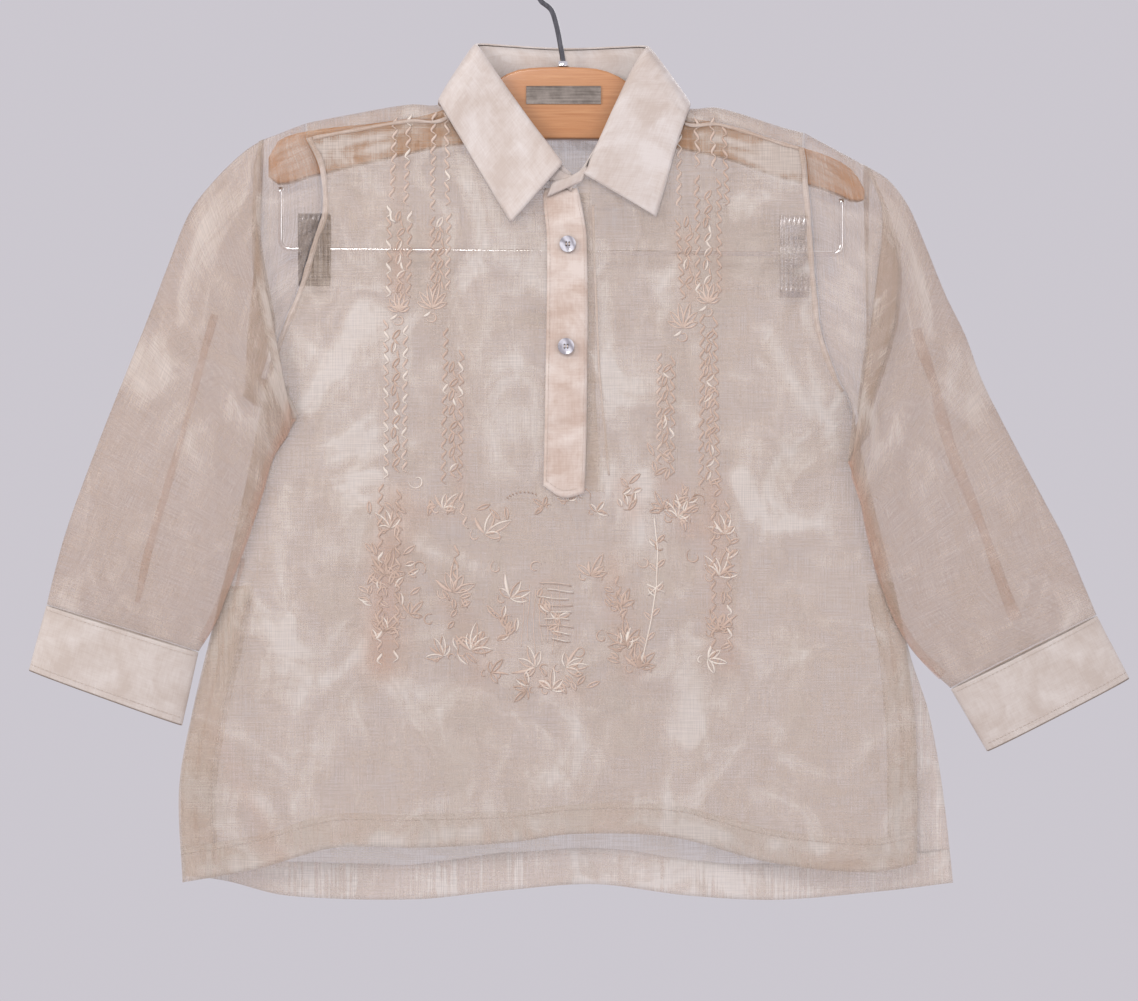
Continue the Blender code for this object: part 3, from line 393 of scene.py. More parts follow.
def grid_sheet(name, points, closed=False, keep=None, uv=None, painted_light_and_tone=None, blush=None):
    """An open sheet, or a tube when closed, from an array of rows of points in millimetres."""
    points = np.asarray(points, float)
    rows, count = points.shape[:2]
    if uv is None:
        across = np.linalg.norm(np.diff(points, axis=1, append=points[:, :1]), axis=2)
        u = np.concatenate([np.zeros((rows, 1)), np.cumsum(across, axis=1)], axis=1)
        step = np.linalg.norm(np.diff(points, axis=0), axis=2).mean(axis=1)
        v = np.concatenate([[0.0], np.cumsum(step)])
        uv = np.stack([u, np.repeat(v[:, None], count + 1, axis=1)], axis=2)
    mesh = bpy.data.meshes.new(name)
    cells, places = [], []
    for i in range(rows - 1):
        for j in range(count if closed else count - 1):
            if keep is not None and not keep[i, j]:
                continue
            k = (j + 1) % count
            cells.append((i * count + j, i * count + k, (i + 1) * count + k, (i + 1) * count + j))
            places += [uv[i][j], uv[i][j + 1], uv[i + 1][j + 1], uv[i + 1][j]]
    mesh.from_pydata((points.reshape(-1, 3) * MM).tolist(), [], cells)
    layer = mesh.uv_layers.new(name="cloth")
    layer.data.foreach_set("uv", (np.array(places, float) * MM).ravel())
    for kind, values in (("painted_light_and_tone", painted_light_and_tone), ("blush", blush)):
        layer = mesh.attributes.new(kind, "FLOAT", "POINT")
        layer.data.foreach_set("value", np.zeros(rows * count) if values is None else np.ravel(values))
    made = bpy.data.objects.new(name, mesh)
    scene.collection.objects.link(made)
    bm = bmesh.new()
    bm.from_mesh(mesh)
    bmesh.ops.delete(bm, geom=[v for v in bm.verts if not v.link_faces], context="VERTS")
    bm.to_mesh(mesh)
    bm.free()
    return made


def use_modifier(made, kind, **settings):
    """Adds a modifier and applies it at once, as with the Apply button."""
    bpy.ops.object.select_all(action="DESELECT")
    bpy.context.view_layer.objects.active = made
    made.select_set(True)
    added = made.modifiers.new(kind.lower(), kind)
    for key, value in settings.items():
        setattr(added, key, value)
    bpy.ops.object.modifier_apply(modifier=added.name)


def round_edges(made, width, segments):
    """Bevels each edge where the faces meet at more than 30 degrees."""
    corner = math.radians(30)
    settings = {"segments": segments, "limit_method": "ANGLE", "angle_limit": corner}
    use_modifier(made, "BEVEL", width=width * MM, **settings)


def smooth_up_to(made, degrees):
    """Shades smoothly, but keeps an edge sharp where faces meet at more than this."""
    made.data.shade_smooth()
    made.data.set_sharp_from_angle(angle=math.radians(degrees))


def face_towards(made, out):
    """Turns a sheet's faces to one side or, with no side given, away from its own middle line."""
    bm = bmesh.new()
    bm.from_mesh(made.data)
    bm.normal_update()
    if out is None:
        rings = {}
        for vertex in bm.verts:
            rings.setdefault(vertex.index // out_count(made), []).append(vertex.co)
        total = 0.0
        middles = {key: sum(found, Vector()) / len(found) for key, found in rings.items()}
        for face in bm.faces:
            middle = middles[face.verts[0].index // out_count(made)]
            total += face.normal.dot(face.calc_center_median() - middle) * face.calc_area()
    else:
        total = sum(face.normal.dot(Vector(out)) * face.calc_area() for face in bm.faces)
    if total < 0:
        bmesh.ops.reverse_faces(bm, faces=bm.faces)
    bm.to_mesh(made.data)
    bm.free()


def out_count(made):
    return made["around"]


def thicken(made, wall, out=None):
    face_towards(made, out)
    use_modifier(made, "SOLIDIFY", thickness=wall * MM, offset=-1.0)
    made.data.shade_smooth()
    return made


def give(made, look):
    made.data.materials.clear()
    made.data.materials.append(look)
    return made


# %% [markdown]
# ## Finishes
#
# Organza is a plain weave of hard-twisted threads with gaps between them. Building each thread
# would take millions of faces, so the Principled shader's alpha carries the gaps: it is low
# between the threads and higher on thick ones, called slubs, and where light catches the weave.

# %% Helpers for node finishes
def start_finish(name, roughness, metallic=0.0):
    made = bpy.data.materials.new(name)
    made.use_nodes = True
    shader = made.node_tree.nodes["Principled BSDF"]
    shader.inputs["Roughness"].default_value = roughness
    shader.inputs["Metallic"].default_value = metallic
    return made, made.node_tree, shader


def place_of(tree, kind, turn=(0, 0, 0), size=(1, 1, 1)):
    """The coordinates that a pattern reads, turned and scaled by a Mapping node."""
    coords = tree.nodes.new("ShaderNodeTexCoord")
    mapping = tree.nodes.new("ShaderNodeMapping")
    mapping.inputs["Rotation"].default_value = turn
    mapping.inputs["Scale"].default_value = size
    tree.links.new(coords.outputs[kind], mapping.inputs["Vector"])
    return mapping.outputs["Vector"]


def noise(tree, place, scale, detail=3.0, rough=0.5, warp=0.0):
    made = tree.nodes.new("ShaderNodeTexNoise")
    made.inputs["Scale"].default_value = scale
    made.inputs["Detail"].default_value = detail
    made.inputs["Roughness"].default_value = rough
    made.inputs["Distortion"].default_value = warp
    tree.links.new(place, made.inputs["Vector"])
    return made.outputs["Fac"]


def wave(tree, place, scale, axis="X", warp=0.0, profile="SIN"):
    made = tree.nodes.new("ShaderNodeTexWave")
    made.bands_direction = axis
    made.wave_profile = profile
    made.inputs["Scale"].default_value = scale
    made.inputs["Distortion"].default_value = warp
    tree.links.new(place, made.inputs["Vector"])
    return made.outputs["Fac"]


def spread(tree, value, from_low, from_high, low, high):
    made = tree.nodes.new("ShaderNodeMapRange")
    made.inputs["From Min"].default_value = from_low
    made.inputs["From Max"].default_value = from_high
    made.inputs["To Min"].default_value = low
    made.inputs["To Max"].default_value = high
    tree.links.new(value, made.inputs["Value"])
    return made.outputs["Result"]


def sums(tree, how, first, second, clamp=False):
    made = tree.nodes.new("ShaderNodeMath")
    made.operation = how
    made.use_clamp = clamp
    for socket, value in zip(made.inputs, (first, second)):
        if isinstance(value, (int, float)):
            socket.default_value = value
        else:
            tree.links.new(value, socket)
    return made.outputs[0]


def tint(tree, share, first, second):
    """A mix of two colours. Each is a tuple or another mix."""
    made = tree.nodes.new("ShaderNodeMix")
    made.data_type = "RGBA"
    tree.links.new(share, made.inputs[0])
    for socket, value in ((made.inputs[6], first), (made.inputs[7], second)):
        if isinstance(value, tuple):
            socket.default_value = (*value, 1.0)
        else:
            tree.links.new(value, socket)
    return made.outputs[2]


def relief(tree, shader, height, strength, distance):
    made = tree.nodes.new("ShaderNodeBump")
    made.inputs["Strength"].default_value = strength
    made.inputs["Distance"].default_value = distance
    tree.links.new(height, made.inputs["Height"])
    tree.links.new(made.outputs["Normal"], shader.inputs["Normal"])


# %% [markdown]
# ### Organza
#
# Clouds, mist and the number stored at the cloth's points add up to one; slubs and the weave's own
# threads are added on their own. Where the sum is high the cloth is paler, which is painted sheen,
# and glossier, and it hides more, as denser cloth does. The noise is worked out over the flat
# cloth only, since the cloth has no depth and every ray meets many layers of it.

# %% Organza
def stored(tree, name):
    """A number kept at the cloth's own points."""
    made = tree.nodes.new("ShaderNodeAttribute")
    made.attribute_name = name
    return made.outputs["Fac"]


def flat_noise(tree, *settings):
    """Noise over the flat cloth only, which takes half the work of noise in space."""
    made = noise(tree, *settings)
    made.node.noise_dimensions = "2D"
    return made


def organza(name, dull, bright, pink, cover, cover_more, streaks=0.0):
    """Sheer cloth: its colours, and how much of what lies behind it each surface hides."""
    made, tree, shader = start_finish(name, 0.42)
    shader.inputs["Sheen Weight"].default_value = 0.2
    shader.inputs["Sheen Roughness"].default_value = 0.4
    cloth = place_of(tree, "UV")
    clouds = flat_noise(tree, cloth, 13.0, 3.0, 0.62, 1.1)
    mist = flat_noise(tree, place_of(tree, "UV", turn=(0, 0, 0.5), size=(1, 0.6, 1)), 42.0, 2.0, 0.65, 0.8)
    slubs_across = flat_noise(tree, place_of(tree, "UV", size=(38, 1150, 1)), 1.0, 1.0)
    slubs_down = flat_noise(tree, place_of(tree, "UV", size=(1500, 40, 1)), 1.0, 1.0)
    threads_across = wave(tree, cloth, 700.0, "Y")
    threads_down = wave(tree, cloth, 700.0, "X")
    sheen_and_density = sums(tree, "ADD", spread(tree, clouds, 0.46, 0.68, 0.0, 0.75), stored(tree, "painted_light_and_tone"))
    sheen_and_density = sums(tree, "ADD", sheen_and_density, spread(tree, mist, 0.34, 0.7, -0.22, 0.3))
    # Painted sheen: on the hems, bright streaks that run up the band, as moiré.
    if streaks:
        bars = flat_noise(tree, place_of(tree, "UV", size=(260, 9, 1)), 1.0, 3.0, 0.6)
        where = flat_noise(tree, place_of(tree, "UV", size=(1, 0.2, 1)), 24.0, 2.0)
        bars = spread(tree, bars, 0.4, 0.62, -0.2, 1.0)
        bars = sums(tree, "MULTIPLY", bars, spread(tree, where, 0.42, 0.62, 0.1, 1.0))
        sheen_and_density = sums(tree, "ADD", sheen_and_density, sums(tree, "MULTIPLY", bars, streaks))
    sheen_and_density = sums(tree, "ADD", sheen_and_density, 0.0, clamp=True)
    slubs_across = spread(tree, slubs_across, 0.3, 0.75, 0.0, 1.0)
    slubs = sums(tree, "ADD", slubs_across, spread(tree, slubs_down, 0.3, 0.75, 0.0, 1.0))
    slubs = sums(tree, "MULTIPLY", slubs, 0.5)
    flush = stored(tree, "blush")
    # Painted sheen: the colour goes towards the bright one where the sum above is high.
    colour = tint(tree, sheen_and_density, dull, bright)
    colour = tint(tree, spread(tree, slubs, 0.25, 0.75, 0.0, 0.35), colour, bright)
    tree.links.new(tint(tree, flush, colour, pink), shader.inputs["Base Color"])
    hides = spread(tree, sheen_and_density, 0.0, 1.0, cover, cover_more)
    hides = sums(tree, "ADD", hides, spread(tree, slubs, 0.2, 0.8, -0.08, 0.1))
    hides = sums(tree, "ADD", hides, sums(tree, "MULTIPLY", flush, 0.14))
    weave = sums(tree, "MULTIPLY", sums(tree, "ADD", threads_across, threads_down), 0.5)
    hides = sums(tree, "ADD", hides, spread(tree, weave, 0.0, 1.0, -0.035, 0.035), clamp=True)
    tree.links.new(hides, shader.inputs["Alpha"])
    tree.links.new(spread(tree, sheen_and_density, 0.0, 1.0, 0.48, 0.32), shader.inputs["Roughness"])
    relief(tree, shader, weave, 0.4, 0.0002)
    return made


PINK = (0.68, 0.42, 0.29)
BODY_CLOTH = organza("body_organza", (0.63, 0.45, 0.30), (0.88, 0.79, 0.70), PINK, 0.21, 0.46)
# Painted shade: the sleeves' organza is a darker copy of the body's, as the sleeves lie in shade.
SLEEVE_SHADED_CLOTH = organza("sleeve_organza_shaded", (0.56, 0.39, 0.27), (0.82, 0.70, 0.60), PINK, 0.25, 0.44)
HEM_CLOTH = organza("hem_organza", (0.80, 0.62, 0.48), (0.98, 0.90, 0.82), PINK, 0.19, 0.5, streaks=0.9)
SEAM_CLOTH = organza("seam_organza", (0.80, 0.62, 0.49), (0.92, 0.80, 0.71), PINK, 0.42, 0.65)
BLUSH_CLOTH = organza("seam_allowance_organza", (0.74, 0.42, 0.28), (0.84, 0.58, 0.45), PINK, 0.2, 0.34)
print("Five weights of organza")


# %% [markdown]
# The collar, the cuffs and the placket are the same family of cloth, but lined, so nothing shows
# through. Cloudy marks and short slubs keep them from looking like paper.

# %% Lined cloth and thread
def lined_cloth(name, dull, bright, clouds_size):
    made, tree, shader = start_finish(name, 0.5)
    shader.inputs["Sheen Weight"].default_value = 0.3
    shader.inputs["Sheen Roughness"].default_value = 0.45
    cloth = place_of(tree, "UV")
    clouds = noise(tree, cloth, clouds_size, 5.0, 0.62, 0.4)
    slubs_across = noise(tree, place_of(tree, "UV", size=(70, 900, 1)), 1.0, 3.0)
    slubs_down = noise(tree, place_of(tree, "UV", size=(900, 70, 1)), 1.0, 3.0)
    slubs = sums(tree, "MULTIPLY", sums(tree, "ADD", slubs_across, slubs_down), 0.5)
    threads = sums(tree, "ADD", wave(tree, cloth, 700.0, "X"), wave(tree, cloth, 700.0, "Y"))
    # For the placket, the stored number is painted light and shade along its creases; the collar and cuffs
    # store none.
    share = sums(tree, "ADD", spread(tree, clouds, 0.36, 0.66, 0.0, 1.0), stored(tree, "painted_light_and_tone"))
    share = sums(tree, "ADD", share, spread(tree, slubs, 0.35, 0.65, -0.25, 0.25), clamp=True)
    tree.links.new(tint(tree, share, dull, bright), shader.inputs["Base Color"])
    tree.links.new(spread(tree, share, 0.0, 1.0, 0.56, 0.42), shader.inputs["Roughness"])
    height = sums(tree, "ADD", sums(tree, "MULTIPLY", threads, 0.3), slubs)
    relief(tree, shader, height, 0.4, 0.0003)
    return made


COLLAR_CLOTH = lined_cloth("collar_cloth", (0.62, 0.52, 0.45), (0.77, 0.70, 0.65), 34.0)
CUFF_CLOTH = lined_cloth("cuff_cloth", (0.60, 0.51, 0.44), (0.73, 0.66, 0.60), 40.0)
PLACKET_CLOTH = lined_cloth("placket_satin", (0.62, 0.47, 0.38), (0.80, 0.69, 0.61), 40.0)


def thread_finish(name, shade, middle, pale):
    """Stranded silk thread: twist marks run round it, and each strand has its own tone, from painted shade
    through pinkish and plain thread to a painted highlight.
    """
    made, tree, shader = start_finish(name, 0.36)
    shader.inputs["Sheen Weight"].default_value = 0.35
    shader.inputs["Sheen Roughness"].default_value = 0.3
    twist = wave(tree, place_of(tree, "UV", turn=(0, 0, 0.6)), 500.0, "X", 0.6)
    speck = noise(tree, place_of(tree, "Object"), 150.0, 3.0)
    change = spread(tree, twist, 0.0, 1.0, -0.1, 0.1)
    change = sums(tree, "ADD", change, spread(tree, speck, 0.3, 0.7, -0.12, 0.12))
    tone = sums(tree, "ADD", stored(tree, "tone"), change, clamp=True)
    lower = tint(tree, spread(tree, tone, 0.0, 0.5, 0.0, 1.0), shade, middle)
    colour = tint(tree, spread(tree, tone, 0.5, 1.0, 0.0, 1.0), lower, pale)
    tree.links.new(colour, shader.inputs["Base Color"])
    relief(tree, shader, twist, 0.5, 0.0003)
    return made


EMBROIDERY_THREAD = thread_finish(
    "embroidery_thread", (0.48, 0.33, 0.24), (0.74, 0.56, 0.45), (0.95, 0.86, 0.75)
)
SEWING_THREAD = thread_finish(
    "sewing_thread", (0.52, 0.40, 0.31), (0.76, 0.62, 0.51), (0.90, 0.80, 0.70)
)
# Painted shade: near-black thread for the cords along the cuffs' lower rims.
RIM_SHADE_THREAD = thread_finish(
    "cuff_rim_painted_shade", (0.12, 0.09, 0.07), (0.26, 0.20, 0.16), (0.40, 0.32, 0.26)
)

# %% [markdown]
# ### Painted light, tone and blushed places
#
# A patch is a soft stroke from one point to another. On the front, bright strokes are mostly
# painted sheen along folds, creases and the hem, two dark ones are painted shadow beside the
# sleeves' edges, and dull tan ones along the embroidery are the cloth's own tone. Blush strokes
# are where embroidery thread shows through from behind.

# %% Painted sheen, painted shadow, tone and blush on the panels
# Front strokes: mostly painted sheen, two painted shadow lines, and real tan tone along the embroidery.
FRONT_PAINTED_LIGHT_AND_TONE = table(
    Patch,
    (-60, -252, -48, -372, 17, 0.5), (38, -300, 60, -420, 15, 0.5), (145, -268, 178, -328, 7, 0.8),
    (126, -376, 136, -392, 8, 0.8), (152, -413, 184, -409, 4, 0.7), (90, -518, 102, -566, 11, 0.5),
    (-160, -354, -140, -332, 4, 0.7), (-168, -376, -128, -372, 5, 0.5),
    (-150, -230, -146, -320, 22, 0.3), (90, -224, 104, -318, 14, 0.3),
    (30, -240, 32, -330, 5, 0.5), (74, -590, 77, -626, 2.5, 0.7),
    (-140, -540, -80, -560, 26, 0.25), (-34, -230, -30, -300, 7, 0.35),
    (170, -460, 160, -560, 14, 0.25), (-200, -460, -190, -560, 14, 0.25),
    (-262, -657, -215, -653, 6, 0.65), (-180, -646, -120, -637, 6, 0.6),
    (-90, -633, -62, -630, 5, 0.5), (-20, -625, 30, -623, 6, 0.55), (66, -626, 120, -632, 6, 0.65),
    # Painted shadow: the two strokes of -0.7 lie beside the sleeves' inner edges.
    (150, -638, 215, -646, 6, 0.6), (-187, -333, -246, -480, 3, -0.7),
    (200, -366, 226, -446, 3, -0.7), (176, -288, 196, -352, 7, 0.6),
    (130, -400, 146, -410, 7, 0.5), (-150, -352, -104, -346, 7, 0.4),
    (-188, -152, -100, -130, 15, 0.4), (98, -134, 176, -152, 15, 0.35),
    (-176, -290, -130, -420, 26, 0.3), (-150, -400, -138, -520, 16, 0.2),
    (150, -300, 168, -360, 12, 0.3), (24, -210, 30, -270, 9, 0.35),
    (-180, -140, -108, -123, 1.6, 0.9), (-174, -149, -120, -134, 1.3, 0.7),
    (96, -128, 170, -143, 1.6, 0.8), (110, -140, 166, -151, 1.3, 0.6),
    (-186, -168, -184, -196, 5, 0.5), (-205, -395, -190, -640, 6, 0.35),
    (-170, -352, -120, -338, 3, 0.6), (-166, -362, -104, -352, 4, 0.5),
    (-118, -130, -116, -255, 9, -0.35), (-90, -130, -88, -260, 9, -0.35),
    (90, -130, 92, -255, 9, -0.35), (112, -140, 114, -250, 9, -0.35),
    (-118, -300, -118, -510, 11, -0.3), (-78, -300, -76, -520, 10, -0.3),
    (76, -290, 72, -510, 10, -0.3), (106, -290, 112, -510, 12, -0.35),
    (-40, -400, 40, -520, 32, -0.35), (196, -480, 200, -640, 16, -0.3),
)
FRONT_BLUSH = table(
    Patch,
    (-119, -150, -117, -240, 6, 0.25), (-118, -215, -117, -245, 7, 0.5),
    (-92, -200, -90, -250, 6, 0.3), (88, -205, 92, -245, 7, 0.4), (112, -205, 114, -240, 7, 0.35),
    (-76, -300, -74, -390, 6, 0.4), (-118, -395, -126, -505, 15, 0.5),
    (-130, -430, -132, -510, 12, 0.4), (-100, -400, -40, -405, 7, 0.25),
    (-80, -462, -60, -515, 13, 0.35), (-40, -470, -40, -500, 10, 0.25),
    (-20, -518, 6, -528, 12, 0.3), (-14, -452, 0, -492, 12, 0.25), (34, -440, 50, -512, 11, 0.45),
    (44, -380, 50, -400, 8, 0.4), (82, -384, 90, -412, 10, 0.5), (108, -390, 116, -505, 11, 0.55),
    (72, -300, 72, -380, 6, 0.25), (104, -300, 106, -380, 7, 0.3),
    (-250, -560, -205, -652, 7, 0.3),
)
# Painted sheen along the back's folds.
BACK_PAINTED_SHEEN = table(
    Patch,
    (-120, -200, -60, -330, 20, 0.4), (120, -220, 70, -360, 18, 0.4),
    (-60, -420, -80, -640, 16, 0.3), (40, -400, 44, -620, 14, 0.3),
    (170, -480, 190, -650, 14, 0.35), (-180, -380, -120, -420, 8, 0.5),
    (176, -360, 120, -396, 8, 0.5),
)


def patches_at(patches, x, z):
    """The sum of soft strokes at each point, each strongest along its middle."""
    total = np.zeros_like(x)
    for patch in patches:
        along_x, along_z = patch.x2 - patch.x1, patch.z2 - patch.z1
        length = math.hypot(along_x, along_z)
        t = np.clip(((x - patch.x1) * along_x + (z - patch.z1) * along_z) / length**2, 0, 1)
        off = np.hypot(x - patch.x1 - t * along_x, z - patch.z1 - t * along_z)
        total = total + patch.strength * np.exp(-((off / patch.width) ** 2))
    return total


# %% [markdown]
# ## The front and the back
#
# Each is one sheer panel. The front has a half opening, a slit of cells left out under the
# placket. The back is longer: it rises over each shoulder and comes a little way down the front,
# to the shoulder seam. Columns are spaced so that one of them meets each corner of the neck.

# %% Cut the two panels
SHOULDER_COLUMNS = 30
NECK_COLUMNS = 32
PANEL_ROWS = 132
OPENING = (SHOULDER_COLUMNS + NECK_COLUMNS // 2, SHOULDER_COLUMNS + NECK_COLUMNS // 2 + 1)
OPENING_FOOT_Z = -366.0
WRAP_STEPS = 9
GAP = 0.35


def column_shares(left, right):
    stops = ((left, -NECK_HALF, SHOULDER_COLUMNS), (-NECK_HALF, NECK_HALF, NECK_COLUMNS))
    stops += ((NECK_HALF, right, SHOULDER_COLUMNS),)
    places = [a + (b - a) * k / count for a, b, count in stops for k in range(count)] + [right]
    return (np.array(places) - left) / (right - left)


def panel_points(edges, hem, top, depth):
    """The panel's points as rows from the hem to the top line, in millimetres."""
    lows = [float(read(edges, side, read(hem, "z", x))) for side, x in (("left", -275), ("right", 256))]
    ends = (("left", -185), ("right", 174))
    highs = [float(read(edges, side, top(np.array(float(x))))) for side, x in ends]
    share = column_shares(*highs)[None, :]
    rise = np.linspace(0, 1, PANEL_ROWS + 1)[:, None]
    low_x = lows[0] + (lows[1] - lows[0]) * share
    high_x = highs[0] + (highs[1] - highs[0]) * share
    low, high = read(hem, "z", low_x), top(high_x)
    ends = [read(hem, "z", lows[i]) * (1 - rise) + top(np.array(highs[i])) * rise for i in (0, 1)]
    left = read(edges, "left", ends[0])
    right = read(edges, "right", ends[1])
    x = left + (right - left) * share
    z = low + (high - low) * rise
    return np.stack([x, depth(x, z), z], axis=2)


front_points = panel_points(FRONT_EDGES, FRONT_HEM, front_top, front_y)
back_points = panel_points(BACK_EDGES, BACK_HEM, back_top, back_y)
in_opening = np.ones((PANEL_ROWS, front_points.shape[1] - 1), bool)
for column in OPENING:
    in_opening[:, column] = front_points[:-1, column, 2] <= OPENING_FOOT_Z
front = grid_sheet(
    "front_panel",
    front_points,
    keep=in_opening,
    uv=front_points[:, :, [0, 2]] + 400,
    painted_light_and_tone=patches_at(FRONT_PAINTED_LIGHT_AND_TONE, front_points[:, :, 0], front_points[:, :, 2]),
    blush=patches_at(FRONT_BLUSH, front_points[:, :, 0], front_points[:, :, 2]),
)
give(thicken(front, SHEER, (0, -1, 0)), BODY_CLOTH)
print("The front has", len(front.data.polygons), "faces")

# %% [markdown]
# ### Over the shoulders
#
# The back panel is cut long at the top. It goes over the hanger in a round bend and ends at the
# shoulder seam, a little way down the front.

# %% Wrap the back over the shoulders
seam_row = back_points[-1]
over = []
for step in range(1, WRAP_STEPS + 1):
    angle = math.pi * step / WRAP_STEPS
    rise = (SEAM_DROP - GAP) * math.sin(angle) + GAP * step / WRAP_STEPS
    over.append(np.stack([seam_row[:, 0], seam_row[:, 1] * math.cos(angle), seam_row[:, 2] + rise], axis=1))
back_all = np.concatenate([back_points, np.array(over)], axis=0)
over_neck = np.abs(seam_row[:, 0]) < NECK_HALF - 1
keep = np.ones((len(back_all) - 1, back_all.shape[1] - 1), bool)
keep[PANEL_ROWS:] = ~(over_neck[:-1] | over_neck[1:])
run = back_all[:, :, 2].copy()
for step in range(WRAP_STEPS):
    run[PANEL_ROWS + 1 + step] = run[PANEL_ROWS] + 3.6 * (step + 1)
back = grid_sheet(
    "back_panel",
    back_all,
    keep=keep,
    uv=np.stack([back_all[:, :, 0], run], axis=2) + 1100,
    painted_light_and_tone=patches_at(BACK_PAINTED_SHEEN, back_all[:, :, 0], back_all[:, :, 2]),
)
give(thicken(back, SHEER, (0, 1, 0)), BODY_CLOTH)
print("The back has", len(back.data.polygons), "faces")

# %% [markdown]
# ## Hems and slit facings
#
# A hem is the panel's own edge, turned up inside and stitched. It shows as a paler band, because
# light crosses the cloth twice more. Each band is made from the panel's own points moved inwards,
# so it follows every fold. The slit's facings are the same thing, stood on end.

# %% Turn up the hems and face the slits
HEM_ROWS = 6
FACING_COLUMNS = 4
SLIT_TOP_ROW = 52
TURN_IN = SHEER + 0.25


def moved(points, distance):
    """The same points a little further along Y."""
    return points + np.array([0.0, distance, 0.0])


def uneven(count, seed, amount=0.7):
    """Small fixed wanderings, so that a turned edge isn't ruler straight."""
    steps = np.arange(count)
    return amount * (np.sin(steps * 0.37 + seed) + 0.6 * np.sin(steps * 0.83 + 2 * seed)) / 1.6


bands = {"front": [], "back": []}
for panel, points, step, out in (
    ("front", front_points, TURN_IN, (0, -1, 0)),
    ("back", back_points, -TURN_IN, (0, 1, 0)),
):
    hem = moved(points[: HEM_ROWS + 1], step)
    hem[-1, :, 2] += uneven(hem.shape[1], 1.0)
    x = hem[:, :, 0]
    # Painted sheen: soft bright blotches along each hem band.
    blotches = 0.45 * smoothstep(np.sin(x / 15 + 2.2 * np.sin(x / 37)) + 0.5 * np.sin(x / 6.1))
    made = grid_sheet(f"hem_{panel}_band", hem, uv=hem[:, :, [0, 2]] + 900, painted_light_and_tone=blotches)
    bands[panel].append(give(thicken(made, SHEER, out), HEM_CLOTH))
    last = points.shape[1]
    left_columns = slice(0, FACING_COLUMNS + 1)
    right_columns = slice(last - FACING_COLUMNS - 1, last)
    for side, columns in (("left", left_columns), ("right", right_columns)):
        facing = moved(points[HEM_ROWS : SLIT_TOP_ROW + 1, columns], step * 1.6)
        inner = -1 if side == "left" else 0
        facing[:, inner, 0] += uneven(len(facing), 2.0)
        made = grid_sheet(f"slit_{panel}_{side}_facing", facing, uv=facing[:, :, [0, 2]] + 1300)
        bands[panel].append(give(thicken(made, SHEER, out), HEM_CLOTH))
print("Bands:", [made.name for made in bands["front"] + bands["back"]])

# %% [markdown]
# ## Sleeves
#
# A sleeve is one sheer panel sewn to a tube. At its head it folds forwards over the armhole seam,
# because the shoulder on the hanger is narrower than the shirt. The tube is a loft: rings of
# points from the armhole, over the fold and down to the cuff, with smooth curves through them.

# %% Rings of the sleeve
RECESS_DEPTH = 11.5
BACK_RECESS = 10.5
TUCK_SHARE = 0.86
OUTER_LEAN = 1.5
BODY_CLEARANCE = 2.3
FOLD_CALM = 0.2
UNDERARM_TURN = ((0.7, 0.95, 1.2), (1.5, 0.6, 2.6), (2.2, 0.0, 3.6))
RING_SHARES = np.sin(np.linspace(0, np.pi / 2, 31)) ** 2 * 0.25 + np.linspace(0, 1, 31) * 0.75
RING_SHARES = np.sort(np.concatenate([RING_SHARES, [0.006, 0.016, 0.985, 0.995]]))


def along(points, share):
    """The point at a share of a line's length."""
    points = np.asarray(points, float)
    lengths = np.concatenate([[0.0], np.cumsum(np.linalg.norm(np.diff(points, axis=0), axis=1))])
    return np.array([np.interp(share * lengths[-1], lengths, points[:, k]) for k in range(points.shape[1])])


def bulge(share):
    return math.sqrt(max(0.0, 1 - abs(2 * share - 1) ** 2.5))


def top_round(share):
    return bulge(share) if share < 0.5 else 1.0


def clear_of_body(arm, point, share):
    """Keeps the sleeve's back layer off the body: in front of its side, then round it, then free."""
    x, y, z = point
    rim = float(read(FRONT_EDGES, "left" if arm.sign < 0 else "right", z))
    inside = arm.sign * (rim - x)
    if share > 0.85:
        if inside < -7:
            return point
        at = rim if inside < 0 else x
        limit = float(front_y(np.array(at), np.array(z))) - BODY_CLEARANCE + max(0.0, -inside) * 1.2
        return (x, min(y, limit), z)
    if share > 0.7:
        if inside < -5:
            return point
        return (rim + arm.sign * 4.0, min(y, float(front_y(np.array(rim), np.array(z))) - BODY_CLEARANCE), z)
    return (rim + arm.sign * 6.0, y, z) if inside > -6 else point


def armhole_ring(arm):
    """Over the ridge, then along the front panel's own cut edge, a gap outside it."""
    edge = front_points[::-1, 0 if arm.sign < 0 else -1]
    edge = edge[edge[:, 2] > arm.underarm_z - 8]
    seam_x, seam_y, seam_z = edge[0]
    path = []
    for degrees in (90, 72, 50, 26):
        angle = math.radians(degrees)
        path.append((seam_x, seam_y * math.cos(angle), seam_z + SEAM_DROP * math.sin(angle)))
    path = np.array(path + [tuple(point) for point in edge])
    turn = len(UNDERARM_TURN)
    shares = np.concatenate([RING_SHARES[: -turn - 1] / RING_SHARES[-turn - 2], np.ones(turn + 1)])
    front_side = [along(path, min(1.0, share)) + (arm.sign * 1.4 * GAP, 0, 0) for share in shares]
    for step in range(turn + 1):
        last_move = front_side[-turn - 2] - front_side[-turn - 3]
        front_side[-1 - step] = front_side[-turn - 2] + last_move * 0.12 * (turn - step)
    x, y, z = front_side[-1]
    underarm = [(x + arm.sign * out, y * lean, z - drop) for out, lean, drop in UNDERARM_TURN]
    back_side = []
    for share in RING_SHARES[1 : -1 - turn][::-1]:
        spot = along(front_side, share / RING_SHARES[-2 - turn])
        back_side.append((spot[0] + arm.sign * 2 * GAP, -spot[1], spot[2]))
    return [tuple(point) for point in front_side] + underarm + back_side


